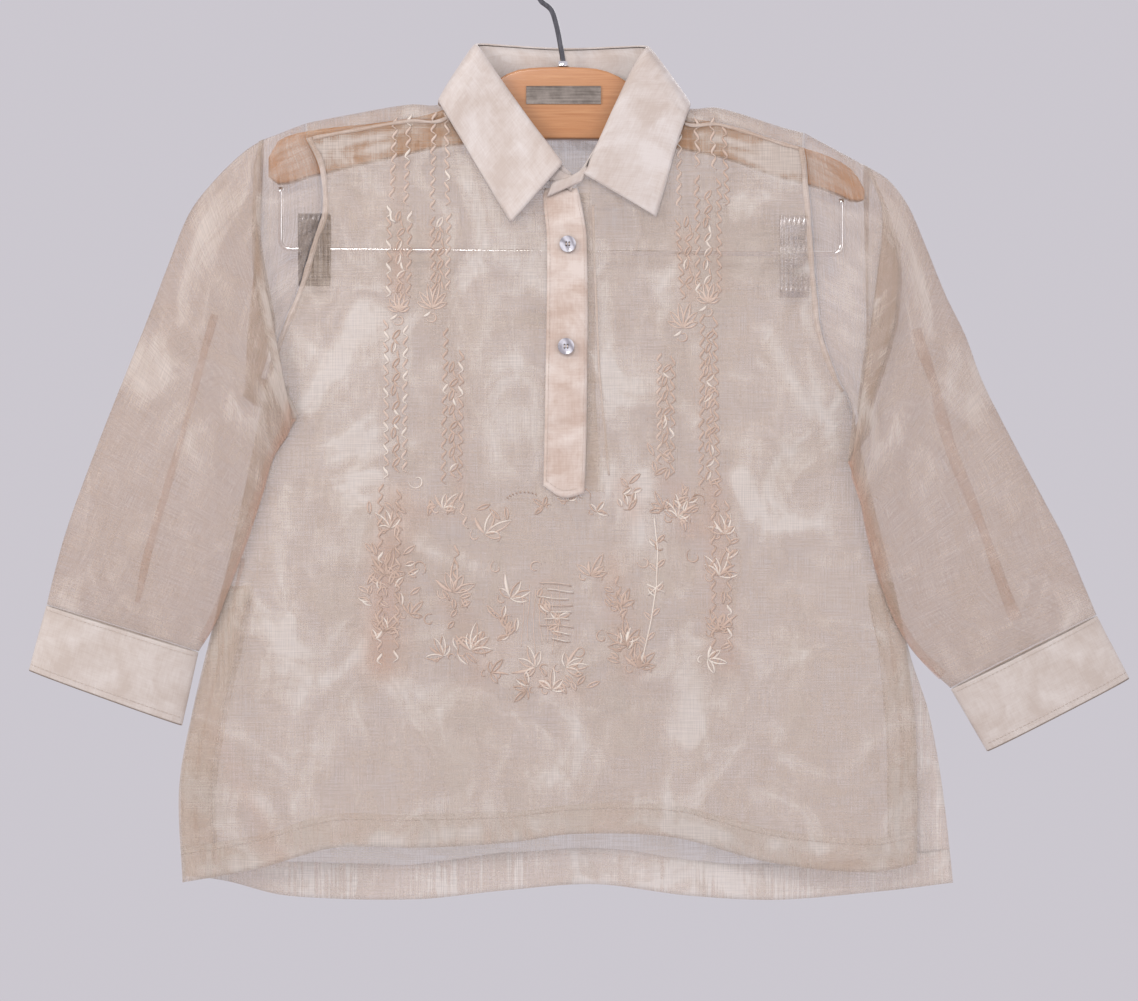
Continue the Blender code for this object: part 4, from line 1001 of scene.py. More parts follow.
def fold_ring(arm, out, depth, drop):
    """A ring along the fold that the sleeve makes over its cap, moved outwards and forwards."""
    front_side = []
    for share in RING_SHARES:
        x, z = along(arm.fold, share)
        full = smoothstep((share - arm.fold_from) / (arm.fold_full - arm.fold_from + 0.01))
        end = smoothstep((share - 1 + FOLD_CALM) / FOLD_CALM)
        reach = full * (1 - end)
        y = -(RECESS_DEPTH + (depth - RECESS_DEPTH) * reach + 2 * share) * top_round(share)
        front_side.append((x + arm.sign * out * reach, y, z - drop * end))
    top, corner = arm.fold[0], front_side[-1]
    tuck_x = arm.tuck.x + arm.sign * drop
    back_side = []
    for share in RING_SHARES[-2:0:-1]:
        if share < TUCK_SHARE:
            t = share / TUCK_SHARE
            x = top.x + (tuck_x - top.x) * smoothstep(t)
            z = top.z + (arm.tuck.z - top.z) * t
            y = BACK_RECESS * math.sqrt(1 - abs(2 * t - 1) ** 3)
        else:
            t = (share - TUCK_SHARE) / (1 - TUCK_SHARE)
            x = tuck_x + (corner[0] - tuck_x) * t
            z = arm.tuck.z - drop + (corner[2] - arm.tuck.z + drop) * t
            y = (corner[1] + 2.0) * t
        back_side.append(clear_of_body(arm, (x, y, z), share))
    return front_side + back_side


def section_ring(arm, ring):
    """A ring across the sleeve: flat and rounded, leaning forwards at its inner edge."""
    front_side, back_side = [], []
    for share in RING_SHARES:
        x = ring.outer_x + (ring.inner_x - ring.outer_x) * share
        z = ring.outer_z + (ring.inner_z - ring.outer_z) * share
        middle = -OUTER_LEAN - (ring.lean - OUTER_LEAN) * share**1.2
        front_side.append((x, middle - ring.front * bulge(share), z))
        back_side.append(clear_of_body(arm, (x, middle + ring.back * bulge(share), z), share))
    return front_side + back_side[-2:0:-1]


# %% [markdown]
# ### A skin through the rings
#
# A smooth skin through few rings gives the tube its long quiet curves. Small creases are then
# added along the skin's own outward direction.

# %% Smooth lofts through the rings
def loft(rings, steps):
    """More rings on smooth curves through the given ones, evenly eased between them."""
    rings = [np.array(ring, float) for ring in rings]
    made = []
    last = len(rings) - 1
    for i in range(last):
        before, a, b, after = rings[max(i - 1, 0)], rings[i], rings[i + 1], rings[min(i + 2, last)]
        for step in range(steps):
            t = step / steps
            slope_a = (b - before) / 2
            slope_b = (after - a) / 2
            made.append(
                (1 + 2 * t) * (1 - t) ** 2 * a
                + t * (1 - t) ** 2 * slope_a
                + t * t * (3 - 2 * t) * b
                + t * t * (t - 1) * slope_b
            )
    made.append(rings[-1])
    return np.array(made)


SLEEVE_CREASES = {
    "left": (
        Fold(-222, -150, -232, -240, 5, 1.6),
        Fold(-236, -170, -224, -290, 6, -1.4),
        Fold(-228, -250, -206, -330, 5, 1.5),
        Fold(-262, -250, -222, -330, 8, 1.3),
        Fold(-300, -300, -230, -372, 9, 1.2),
        Fold(-250, -330, -236, -410, 8, -1.3),
        Fold(-320, -360, -262, -420, 10, 1.1),
        Fold(-290, -400, -280, -470, 9, -1.2),
        Fold(-340, -400, -330, -470, 9, 1.2),
    ),
    "right": (
        Fold(240, -200, 246, -262, 5, 1.5),
        Fold(250, -216, 244, -320, 6, -1.3),
        Fold(236, -280, 214, -356, 5, 1.6),
        Fold(270, -280, 226, -370, 8, 1.2),
        Fold(292, -330, 240, -410, 9, 1.2),
        Fold(320, -360, 262, -430, 9, -1.2),
        Fold(330, -400, 300, -480, 10, 1.2),
        Fold(356, -430, 350, -480, 8, -1.0),
        Fold(262, -430, 270, -500, 8, 1.2),
    ),
}
# Painted highlights: bright strokes along each sleeve's fold edge, and broad painted sheen on the sleeve.
SLEEVE_PAINTED_LIGHT = {
    "left": (
        Patch(-217, -170, -214, -250, 2.5, 0.7),
        Patch(-213, -252, -201, -310, 4.5, 0.7),
        Patch(-206, -300, -194, -328, 5, 0.8),
        Patch(-262, -190, -240, -250, 8, 0.35),
        Patch(-300, -290, -270, -350, 14, 0.3),
        Patch(-222, -372, -214, -400, 4, 0.5),
    ),
    "right": (
        Patch(204, -226, 217, -284, 4.5, 0.8),
        Patch(216, -212, 226, -262, 3.5, 0.7),
        Patch(200, -262, 214, -300, 3.5, 0.7),
        Patch(208, -310, 222, -336, 4, 0.5),
        Patch(262, -210, 256, -260, 8, 0.3),
        Patch(300, -330, 318, -400, 14, 0.25),
    ),
}
SLEEVE_BLUSH = {
    "left": (
        Patch(-196, -325, -202, -350, 4, 0.6),
        Patch(-204, -352, -222, -400, 4, 0.4),
    ),
    "right": (
        Patch(206, -340, 206, -372, 5, 0.6),
        Patch(212, -380, 230, -440, 5, 0.45),
    ),
}
FOLD_DEPTH = 15.0
FOLD_OVER_DEPTH = 18.5
FOLD_OVER_OUT = 3.5
FOLD_UNDER_OUT = 4.0
LOFT_STEPS = 5


def creased(points, folds):
    """Moves the front layer forwards and the back layer backwards by the same soft creases."""
    half = points.shape[1] // 2
    shares = np.concatenate([RING_SHARES, RING_SHARES[-2:0:-1]])
    calm = np.sin(np.pi * np.clip(shares, 0, 1)) ** 0.5
    height = fold_height(folds, points[:, :, 0], points[:, :, 2])
    height = height + ripple(points[:, :, 0] * 1.7, points[:, :, 2])
    start = smoothstep((np.arange(len(points)) - 3 * LOFT_STEPS) / (2 * LOFT_STEPS))[:, None]
    side = np.where(np.arange(points.shape[1]) < len(RING_SHARES), -1.0, 0.6)
    free = np.where(np.arange(points.shape[1]) < len(RING_SHARES), 1.0, (shares < 0.66) * 1.0)
    made = points.copy()
    made[:, :, 1] += side * free * calm * start * height
    return made


sleeves = {}
sleeve_points = {}
for side, arm in ARMS:
    rings = [armhole_ring(arm)]
    rings.append(fold_ring(arm, FOLD_UNDER_OUT, RECESS_DEPTH + 1.0, 0.0))
    rings.append(fold_ring(arm, 0.0, FOLD_DEPTH, 2.0))
    rings.append(fold_ring(arm, FOLD_OVER_OUT, FOLD_OVER_DEPTH, 4.5))
    rings += [section_ring(arm, ring) for ring in arm.rings]
    points = creased(loft(rings, LOFT_STEPS), SLEEVE_CREASES[side])
    sleeve_points[side] = points
    painted_light_and_tone = patches_at(SLEEVE_PAINTED_LIGHT[side], points[:, :, 0], points[:, :, 2])
    blush = patches_at(SLEEVE_BLUSH[side], points[:, :, 0], points[:, :, 2])
    # Painted light: the cloth under the fold at the sleeve's head is made paler and less pink, against the
    # dark its overlapping layers give.
    under_fold = 1 - smoothstep((np.arange(len(points)) - 2.4 * LOFT_STEPS) / LOFT_STEPS)[:, None]
    painted_light_and_tone = painted_light_and_tone + 0.3 * under_fold
    blush = blush - 0.8 * under_fold
    made = grid_sheet(f"sleeve_{side}_tube", points, closed=True, painted_light_and_tone=painted_light_and_tone, blush=blush)
    made["around"] = points.shape[1]
    sleeves[side] = give(thicken(made, SHEER), SLEEVE_SHADED_CLOTH)
    print("The", side, "sleeve has", len(made.data.polygons), "faces")

# %% [markdown]
# ## Cuffs
#
# A cuff is lined and stiff, so it keeps a clean flat oval. It stands just clear of the sleeve's
# last ring, with a row of topstitching near each edge. A fine dark cord along its lower rim is
# painted shade for that edge.

# %% Build the cuffs
cuffs = {}
cuff_points = {}
for side, arm in ARMS:
    points = loft([section_ring(arm, ring) for ring in arm.cuff], 8)
    wobble = 0.25 * np.sin(np.arange(points.shape[1]) * 0.5)[None, :]
    wobble = wobble * np.sin(np.linspace(0, 3, len(points)))[:, None]
    points[:, :, 1] += wobble
    cuff_points[side] = points
    made = grid_sheet(f"cuff_{side}_band", points, closed=True)
    made["around"] = points.shape[1]
    cuffs[side] = give(thicken(made, CUFF), CUFF_CLOTH)
    bevelled = [made.name, len(made.data.polygons)]
    print("Cuff", bevelled)

# %% [markdown]
# ## Collar
#
# A shirt collar is a stand that rises from the neck seam and a leaf that folds over it. Both are
# lined. The place round the neck is one number, the turn: 0 and 6 are the two front ends, 3 is the
# middle of the back. Tables give the fold line and the leaf's outer edge at each turn.

# %% Lines round the neck
END_LAP = 1.9
LEAF_CLEARANCE = 3.0
LEAF_LEAN = 1.5
COLLAR_STEPS = 26


def number(function, x, z):
    return float(function(np.array(float(x)), np.array(float(z))))


def neck_seam(turn):
    if turn < 1 or turn > 5:
        x = -NECK_HALF * turn if turn < 1 else NECK_HALF * (6 - turn)
        z = float(neck_front(x))
        return np.array([x, number(front_y, x, z), z])
    if 2 < turn < 4:
        x = NECK_HALF * (turn - 3)
        z = float(neck_back(x))
        return np.array([x, number(back_y, x, z), z])
    side = -1 if turn < 3 else 1
    angle = math.pi * (turn - 1 if turn < 3 else 5 - turn)
    x = side * (NECK_HALF - 1.5 * GAP)
    z = float(ridge(side * NECK_HALF)) - SEAM_DROP
    return np.array([x, -SHOULDER_DEPTH * math.cos(angle), z + SEAM_DROP * math.sin(angle)])


def lap(turn):
    return END_LAP * (1 - float(smoothstep(turn / 0.3))) if turn < 1 else 0.0


def fold_point(turn):
    seam = neck_seam(turn)
    y = seam[1] - 1.5 if turn < 1 or turn > 5 else seam[1] * 1.15
    return np.array([float(read(COLLAR_FOLD, "x", turn)), y - lap(turn), float(read(COLLAR_FOLD, "z", turn))])


def clear_of_shoulder(point, gap):
    x, y, z = point
    over = z - (float(ridge(x)) - SEAM_DROP)
    if over <= 0:
        limit = number(front_y, x, z) - gap if y < 0 else number(back_y, x, z) + gap
        return np.array([x, min(y, limit) if y < 0 else max(y, limit), z])
    around = math.hypot(y / (SHOULDER_DEPTH + gap), over / (SEAM_DROP + gap))
    if around >= 1 or around == 0:
        return point
    return np.array([x, y / around, z - over + over / around])


# %% [markdown]
# ### Stand and leaf
#
# The stand is a plain upright band. The leaf starts inside it, rolls over the fold line and falls
# to the rim, with rows close together at the roll so that it turns softly.

# %% Stand and leaf
stand_turns = np.concatenate([[-0.12, -0.06], np.linspace(0, 6, 6 * COLLAR_STEPS + 1), [6.06, 6.12]])
stand_rows = [[], [], [], [], []]
for turn in stand_turns:
    seam = neck_seam(turn)
    low = seam + (0, -lap(turn), 1.5 * GAP)
    high = fold_point(turn)
    for row, share in zip(stand_rows, (0, 0.25, 0.5, 0.75, 1)):
        row.append(low + (high - low) * share)
collar_stand = grid_sheet("collar_stand_band", stand_rows)
collar_stand["around"] = len(stand_turns)
give(thicken(collar_stand, STIFF), COLLAR_CLOTH)

LEAF_SHARES = (0.03, 0.08, 0.15, 0.24, 0.34, 0.45, 0.56, 0.67, 0.78, 0.88, 0.95, 1.0)
leaf_rows = [[] for _ in range(len(LEAF_SHARES) + 4)]
for turn in np.linspace(0, 6, 6 * COLLAR_STEPS + 1):
    fold = fold_point(turn)
    away = np.array([fold[0] / NECK_HALF, fold[1] / 10.0, 0.0])
    away /= np.linalg.norm(away)
    lean = LEAF_LEAN if turn < 1 or turn > 5 else 0.0
    rim_x, rim_z = (float(read(COLLAR_RIM, field, turn)) for field in ("x", "z"))
    rim = np.array([rim_x, fold[1] * 1.05 - lean, rim_z])
    up = fold - neck_seam(turn)
    up /= np.linalg.norm(up)
    leaf_rows[0].append(fold - away * 0.7 + up * 1.5)
    leaf_rows[1].append(fold + away * 0.6 + up * 2.3)
    leaf_rows[2].append(fold + away * 1.9 + up * 2.1)
    leaf_rows[3].append(fold + away * 3.0 + up * 0.9)
    for row, share in enumerate(LEAF_SHARES):
        point = fold + (rim - fold) * share + away * (4.0 * (1 - share) ** 0.5 + 1.2 * share * (1 - share))
        leaf_rows[row + 4].append(clear_of_shoulder(point, LEAF_CLEARANCE))
leaf_points = np.array(leaf_rows)
collar_leaf = grid_sheet("collar_leaf_fall", leaf_points)
collar_leaf["around"] = leaf_points.shape[1]
give(thicken(collar_leaf, STIFF), COLLAR_CLOTH)

# %% [markdown]
# ### Lapped ends
#
# Where the collar closes, the stand's two ends lap over each other above the placket. Each end
# is a short tapered tab laid along its own line.

# %% The lapped ends of the stand
TAB_SHARES = np.linspace(0, 1, 25)


def tab(name, ends, y, half_width, droop):
    """A short strip with a soft fold along it, from one end to the other."""
    rows = []
    (x1, z1), (x2, z2) = ends
    for across in np.linspace(-1, 1, 7):
        bow = droop * np.sin(np.pi * TAB_SHARES)
        wide = half_width * (1 - 0.16 * np.sin(np.pi * TAB_SHARES) ** 2)
        x = x1 + (x2 - x1) * TAB_SHARES + 0.35 * across * wide
        z = z1 + (z2 - z1) * TAB_SHARES - bow + across * wide
        depth = y - 0.5 * (1 - across**2) - 0.3 * np.sin(3 * np.pi * TAB_SHARES) * across
        rows.append(np.stack([x, depth, z], axis=1))
    return give(thicken(grid_sheet(name, rows), 0.7, (0, -1, 0)), COLLAR_CLOTH)


upper_tab = tab("stand_end_upper", ((-9.5, -169.0), (15.5, -158.0)), -22.4, 5.4, 0.8)
lower_tab = tab("stand_end_lower", ((-8.0, -157.5), (7.5, -165.5)), -21.4, 5.0, -0.6)
print("The collar has", len(collar_stand.data.polygons) + len(collar_leaf.data.polygons), "faces")

# %% [markdown]
# ## Placket
#
# The upper strip covers the opening and carries the buttons. Its foot is cut to a blunt point. The
# lower strip shows beside it as a paler line. Both follow the front, moved out or in.

# %% Build the two strips
PLACKET = table(
    Edge,
    (-168, -13, 10), (-174, -14.3, 12), (-205, -11.5, 17), (-330, -13, 17), (-392, -14.4, 15.2),
)
PLACKET_FOOT = (At(0.0, -381.5), At(0.48, -390), At(1.0, -387))
UNDERLAP = (Edge(-171, -8, 19), Edge(-205, -6, 22), Edge(-330, -7, 24), Edge(-392, -8, 30))
UNDERLAP_FOOT = (At(0.0, -384), At(1.0, -386))
PLACKET_CREASES = table(
    Fold,
    (-13, -196, 14, -190, 3.0, 0.9), (-12, -222, 15, -232, 3.5, 0.6),
    (-10, -262, 14, -256, 4.0, -0.5), (-12, -300, 12, -312, 3.5, 0.7),
    (-13, -340, 14, -336, 3.0, -0.6), (-12, -356, 13, -348, 2.5, 0.6),
)


def strip_points(table, foot, out, creases=()):
    across = np.linspace(0, 1, 15)[None, :]
    share = np.linspace(0, 1, 85)[:, None]
    foot_z = read(foot, "z", across)
    z = foot_z + (table[0].z - foot_z) * share
    left, right = read(table, "left", z), read(table, "right", z)
    x = left + (right - left) * across
    flat = -panel_depth(x, z, FRONT_EDGES, "front", FRONT_FOLDS, ())
    y = flat - out - 0.5 - fold_height(creases, x, z) - 0.25 * np.sin(z / 9.0) * np.sin(np.pi * across)
    return np.stack([x, y, z], axis=2)


placket_points = strip_points(PLACKET, PLACKET_FOOT, GAP + STIFF, PLACKET_CREASES)
# Painted light and shade: a bright stroke along each crease that stands out, a dark one along each that
# sinks.
crease_light_and_shade = tuple(
    Patch(crease.x1, crease.z1 + 3, crease.x2, crease.z2 + 3, 4, 0.4 * (1 if crease.depth > 0 else -1))
    for crease in PLACKET_CREASES
)
placket = grid_sheet(
    "placket_strip",
    placket_points,
    uv=placket_points[:, :, [0, 2]] + 500,
    painted_light_and_tone=patches_at(crease_light_and_shade, placket_points[:, :, 0], placket_points[:, :, 2]),
)
give(thicken(placket, 0.9, (0, -1, 0)), PLACKET_CLOTH)
under_points = strip_points(UNDERLAP, UNDERLAP_FOOT, -2.6)
placket_under = grid_sheet("placket_under_strip", under_points, uv=under_points[:, :, [0, 2]] + 700)
give(thicken(placket_under, 0.4, (0, -1, 0)), BODY_CLOTH)
print("Placket strips:", placket.name, placket_under.name)

# %% [markdown]
# ## Threads
#
# Embroidery and stitches are strands laid on the cloth. One helper makes a strand: a line of
# points and a radius that may swell and thin, so the same helper draws a cord, a stem and a
# satin-stitch leaf. Each strand is a closed little tube, a bit flattened. A whole pattern is
# joined in one mesh, because thousands of objects would be slow.

# %% The strand helper
class Threads:
    """Collects strands, then makes one mesh of them."""

    def __init__(self, sides=5):
        self.sides = sides
        self.points = []
        self.cells = []
        self.uv = []
        self.tones = []

    def add(self, line, radii, out=None, flat=0.6, tone=0.5):
        """A strand along a line of points in millimetres. Out is the way its crown faces."""
        line = np.asarray(line, float)
        radii = np.broadcast_to(np.asarray(radii, float), (len(line),))
        ahead = np.gradient(line, axis=0)
        ahead /= np.linalg.norm(ahead, axis=1)[:, None] + 1e-9
        out = (0.0, -1.0, 0.0) if out is None else out
        crown = np.broadcast_to(np.asarray(out, float), line.shape)
        across = np.cross(ahead, crown)
        across /= np.linalg.norm(across, axis=1)[:, None] + 1e-9
        run = np.concatenate([[0.0], np.cumsum(np.linalg.norm(np.diff(line, axis=0), axis=1))])
        first = len(self.points)
        self.tones += [tone] * (len(line) * self.sides)
        for spot, wide, side, top in zip(line, radii, across, crown):
            for k in range(self.sides):
                angle = 2 * math.pi * k / self.sides
                self.points.append(spot + wide * (side * math.cos(angle) + top * flat * math.sin(angle)))
        for i in range(len(line) - 1):
            for k in range(self.sides):
                a, b = first + i * self.sides, (k + 1) % self.sides
                self.cells.append((a + k, a + b, a + self.sides + b, a + self.sides + k))
                v = (k / self.sides, (k + 1) / self.sides)
                self.uv += [(run[i], v[0]), (run[i], v[1]), (run[i + 1], v[1]), (run[i + 1], v[0])]
        for base, order in ((first, -1), (first + (len(line) - 1) * self.sides, 1)):
            self.cells.append(tuple(base + k for k in range(self.sides))[::order])
            self.uv += [(0.0, k / self.sides) for k in range(self.sides)]

    def make(self, name, look):
        mesh = bpy.data.meshes.new(name)
        mesh.from_pydata((np.array(self.points) * MM).tolist(), [], self.cells)
        layer = mesh.uv_layers.new(name="cloth")
        layer.data.foreach_set("uv", (np.array(self.uv, float) * MM).ravel())
        mesh.attributes.new("tone", "FLOAT", "POINT").data.foreach_set("value", self.tones)
        made = bpy.data.objects.new(name, mesh)
        scene.collection.objects.link(made)
        bm = bmesh.new()
        bm.from_mesh(mesh)
        bmesh.ops.recalc_face_normals(bm, faces=bm.faces)
        bm.to_mesh(mesh)
        bm.free()
        mesh.shade_smooth()
        return give(made, look)


def on_front(line, rise=0.15):
    """Lays a line of X and Z places on the front panel."""
    line = np.asarray(line, float)
    y = front_y(line[:, 0], line[:, 1]) - rise
    return np.stack([line[:, 0], y, line[:, 1]], axis=1)


# %% [markdown]
# ## Embroidery
#
# Two columns of vines run down beside the placket and spread into leaf sprigs below it, round a
# small openwork ladder. The motifs are drawn afresh from a few kinds of stroke: a twisted vine, an
# outlined leaf, a filled leaf, a curl and a sprig.

# %% Kinds of stroke
embroidery = Threads()
# The second ply is thin and darker: painted shade beside each strand.
shadow_ply = Threads(sides=4)
STROKE = 0.66
SHADE, PINKISH, PLAIN, LIT = 0.12, 0.38, 0.56, 0.95


def arc(x, z, angle, length, bend, count=9):
    """A bowed line from a point: the bend is its middle's offset to the left of its way."""
    t = np.linspace(0, 1, count)
    ahead = np.array([math.cos(angle), math.sin(angle)])
    side = np.array([-ahead[1], ahead[0]])
    return np.array([x, z]) + np.outer(t * length, ahead) + np.outer(4 * t * (1 - t) * bend, side)


def swell(count, thick, ends=0.3):
    return thick * (ends + (1 - ends) * np.sin(np.linspace(0, np.pi, count)))


def lay(line, thick, tone, rise=0.15, flat=0.6):
    """Lays a strand on the front, with a thin darker one beside it: a second ply, darkened as painted shade.
    """
    line = np.asarray(line, float)
    embroidery.add(on_front(line, rise), thick, flat=flat, tone=tone)
    beside = on_front(line + (0.5, -0.45), rise * 0.4)
    shadow_ply.add(beside, np.asarray(thick) * 0.42, flat=flat, tone=tone * 0.45)


def tone_of(place, usual):
    """A few strands catch the light, by a fixed rule."""
    return LIT if math.sin(place * 12.9898) * 43758.5453 % 1 < 0.15 else usual


def loop_leaf(x, z, degrees, length, wide, tone=PLAIN):
    """An open leaf: two bowed strokes that meet at the tip."""
    angle = math.radians(degrees)
    for k, bend in enumerate((wide / 2, -wide / 2)):
        line = arc(x, z, angle, length, bend)
        lay(line, swell(len(line), STROKE), tone_of(x + z + k, tone))


def filled_leaf(x, z, degrees, length, wide, tone=PINKISH):
    """A padded satin-stitch leaf: one strand that swells to the leaf's width."""
    line = arc(x, z, math.radians(degrees), length, wide * 0.35)
    lay(line, swell(len(line), wide / 2, 0.12), tone_of(x - z, tone), 0.1, 0.4)


def rope(x1, z1, x2, z2, slant=1, tone=PLAIN, step=8.0, sway=1.5):
    """A continuous line that slants across in a thick stitch, then steps back in a thin one."""
    count = max(1, int(math.hypot(x2 - x1, z2 - z1) / step))
    part = np.linspace(0, 1, 9)[:-1]
    swing = np.interp(part, (0, 0.7, 1), (1, -1, 1))
    swing = np.sin(swing * math.pi / 2)
    thick = STROKE * np.interp(part, (0, 0.15, 0.4, 0.62, 0.75, 1), (0.6, 1.2, 1.6, 1.15, 0.6, 0.5))
    for k in range(count):
        share = (k + np.append(part, 1.0)) / count
        across = sway * slant * np.append(swing, 1.0) + 0.3 * math.sin(3.3 * k + x1)
        line = np.stack([x1 + (x2 - x1) * share + across, z1 + (z2 - z1) * share], axis=1)
        lay(line, np.append(thick, thick[0]), tone_of(x1 * 3 + k, tone))


def curl(x, z, degrees, size, turns=0.8, tone=PLAIN):
    """A tendril that winds inwards."""
    t = np.linspace(0, 1, 14)
    angle = math.radians(degrees) + t * turns * 2 * math.pi
    reach = size * (1 - 0.65 * t)
    line = np.stack([x + reach * np.cos(angle), z + reach * np.sin(angle)], axis=1)
    lay(line, swell(14, STROKE * 0.85), tone)


def sprig(x, z, degrees, size, leaves=5, tone=PLAIN):
    """A fan of long open leaves from one foot, with a pair of curls under it."""
    for k in range(leaves):
        share = k / max(1, leaves - 1) - 0.5
        turn = degrees + 135 * share + 9 * math.sin(5.1 * k + x)
        length = size * (0.95 - 0.5 * abs(share)) * (0.9 + 0.18 * math.sin(3.7 * k + z))
        kind = filled_leaf if (k + int(abs(x))) % 6 == 5 else loop_leaf
        kind(x, z, turn, length, size * (0.13 if kind is filled_leaf else 0.2), tone)
    curl(x - size * 0.28, z - size * 0.05, degrees + 60, size * 0.2, 0.6, tone)
    curl(x + size * 0.28, z - size * 0.05, degrees - 120, size * 0.2, 0.6, PINKISH)


# %% [markdown]
# ### Columns beside the placket
#
# A rope line wanders a little from side to side, with short strokes crossing it. Its tone moves
# between pink, plain and lit thread, as silk does when it turns.

# %% Draw the columns
Rope = namedtuple("Rope", "x1 z1 x2 z2 slant tone")
ROPES = table(
    Rope,
    (-121, -116, -123, -176, 1, PLAIN), (-111, -114, -113, -180, 1, PLAIN),
    (-93, -112, -94, -184, 1, PLAIN), (-84, -112, -83, -180, -1, PLAIN),
    (84, -120, 83, -182, 1, PLAIN), (96, -116, 97, -152, -1, PLAIN),
    (107, -116, 109, -154, 1, PLAIN), (116, -122, 118, -180, -1, PINKISH),
    (-125, -180, -125, -246, -1, PINKISH), (-110, -184, -111, -246, 1, PINKISH),
    (-94, -188, -93, -244, 1, PINKISH), (-82, -186, -83, -242, 1, PLAIN),
    (82, -190, 86, -248, -1, PINKISH), (96, -158, 97, -244, 1, PINKISH),
    (112, -160, 112, -244, -1, PINKISH), (-127, -262, -127, -376, -1, PLAIN),
    (-113, -266, -114, -372, 1, PLAIN), (-84, -268, -86, -380, 1, PINKISH),
    (-73, -284, -74, -378, -1, PINKISH), (69, -286, 69, -366, 1, PLAIN),
    (79, -288, 78, -374, -1, PINKISH), (100, -258, 99, -384, 1, PINKISH),
    (109, -260, 111, -386, -1, PINKISH), (-131, -380, -132, -510, 1, PINKISH),
    (-118, -384, -120, -508, -1, PINKISH), (108, -392, 108, -508, 1, PINKISH),
    (118, -392, 120, -500, -1, PINKISH), (-74, -386, -70, -412, 1, PLAIN),
    (-76, -424, -78, -452, -1, PINKISH), (38, -446, 50, -506, 1, PINKISH),
)
for line in ROPES:
    rope(*line)
print("Ropes:", len(ROPES))

# %% [markdown]
# ### Leaves in the columns
#
# Pairs of small leaves climb each column, one open and one filled, and each column ends in a fan.

# %% Draw the leaves between them
Column = namedtuple("Column", "middle top rows")
COLUMNS = table(
    Column,
    (-117, -192, 6), (-88, -196, 5), (90, -196, 5), (104, -176, 7), (-79, -300, 8),
    (105, -276, 11), (-120, -276, 10), (74, -300, 7),
)
for middle, top, rows in COLUMNS:
    for row in range(rows):
        z = top - 10.2 * row
        lean = 18 * math.sin(2.1 * row + middle)
        loop_leaf(middle - 2.5, z, 62 + lean, 8.5, 2.8, PINKISH)
        filled_leaf(middle + 2.5, z - 4, 118 - lean, 6.5, 1.8, PINKISH)
for x, z, size in ((-94, -254, 19), (86, -268, 19), (104, -250, 15), (-118, -256, 14)):
    for degrees, share in ((20, 0.6), (48, 0.8), (74, 1.0), (100, 0.96), (128, 0.8), (158, 0.62)):
        loop_leaf(x, z, degrees, size * share, 3.2, PLAIN)
    filled_leaf(x - 1, z - 2, 215, 7, 2.2, LIT)
    curl(x, z - 6, 200, 4.5)

# %% [markdown]
# ### Sprigs below the placket
#
# A ring of sprigs frames an open middle. Many small open leaves are strewn along the blushed
# places to fill the ground between them, from a seeded draw so that each run is the same.

# %% Draw the sprigs below the placket
Sprig = namedtuple("Sprig", "x z degrees size leaves tone")
SPRIGS = table(
    Sprig,
    (-56, -416, 55, 24, 4, PLAIN), (-86, -398, 62, 17, 4, PLAIN), (-79, -458, 84, 24, 5, PLAIN),
    (-127, -446, 84, 22, 6, PINKISH), (-124, -412, 110, 18, 5, PINKISH),
    (-128, -486, 80, 20, 5, PINKISH), (-110, -474, 60, 15, 4, PINKISH),
    (-38, -462, 62, 20, 5, PINKISH), (-66, -500, 70, 22, 6, PINKISH),
    (-86, -504, 120, 18, 5, PINKISH), (-52, -516, 20, 16, 4, PINKISH),
    (-20, -512, 150, 20, 5, PLAIN), (2, -512, 32, 20, 5, PLAIN), (-8, -528, 80, 16, 5, PLAIN),
    (-26, -528, 200, 14, 4, PINKISH), (20, -446, 70, 18, 5, PLAIN),
    (46, -496, 112, 22, 6, PINKISH), (54, -512, 78, 20, 6, PINKISH),
    (42, -468, 100, 17, 5, PINKISH), (82, -404, 80, 20, 6, PINKISH),
    (72, -398, 130, 15, 4, PINKISH), (112, -446, 82, 22, 6, PINKISH),
    (116, -416, 100, 18, 5, PINKISH), (112, -486, 90, 20, 6, PINKISH), (104, -506, 5, 17, 4, LIT),
    (4, -392, 96, 12, 4, PINKISH), (-14, -396, 150, 12, 3, PINKISH),
    (24, -400, 60, 12, 3, PINKISH),
)
for place in SPRIGS:
    sprig(*place)
chance = np.random.default_rng(7)
for patch in FRONT_BLUSH[6:-1]:
    for _ in range(int(patch.width * 1.1)):
        t, turn = chance.random(), chance.random() * 150 + 15
        spot = chance.normal(0, patch.width * 0.55, 2)
        x = patch.x1 + (patch.x2 - patch.x1) * t + spot[0]
        z = patch.z1 + (patch.z2 - patch.z1) * t + spot[1] * 0.6
        loop_leaf(x, z, turn, 6.5 + 4.5 * chance.random(), 2.6, PINKISH + 0.16 * chance.random())
Curl = namedtuple("Curl", "x z degrees size tone")
CURLS = table(
    Curl,
    (70, -425, 40, 5.5, SHADE), (46, -392, 250, 7, SHADE), (-48, -440, 100, 5, PLAIN),
    (-104, -440, 300, 6, PINKISH), (-20, -440, 20, 5, PLAIN), (58, -436, 180, 5, PLAIN),
    (-96, -478, 60, 5, PINKISH), (94, -432, 120, 6, PINKISH), (12, -500, 200, 5, PINKISH),
    (-105, -378, 190, 6, LIT), (96, -392, 330, 6, SHADE), (-40, -480, 60, 6, PLAIN),
    (98, -236, 60, 4, PLAIN), (28, -490, 80, 5, PINKISH), (-2, -384, 200, 6, PLAIN),
    (14, -388, 330, 6, PINKISH),
)
for place in CURLS:
    curl(place.x, place.z, place.degrees, place.size, tone=place.tone)
lay([(-124, -184), (-123.6, -190), (-120.5, -192.4)], 0.8, LIT)
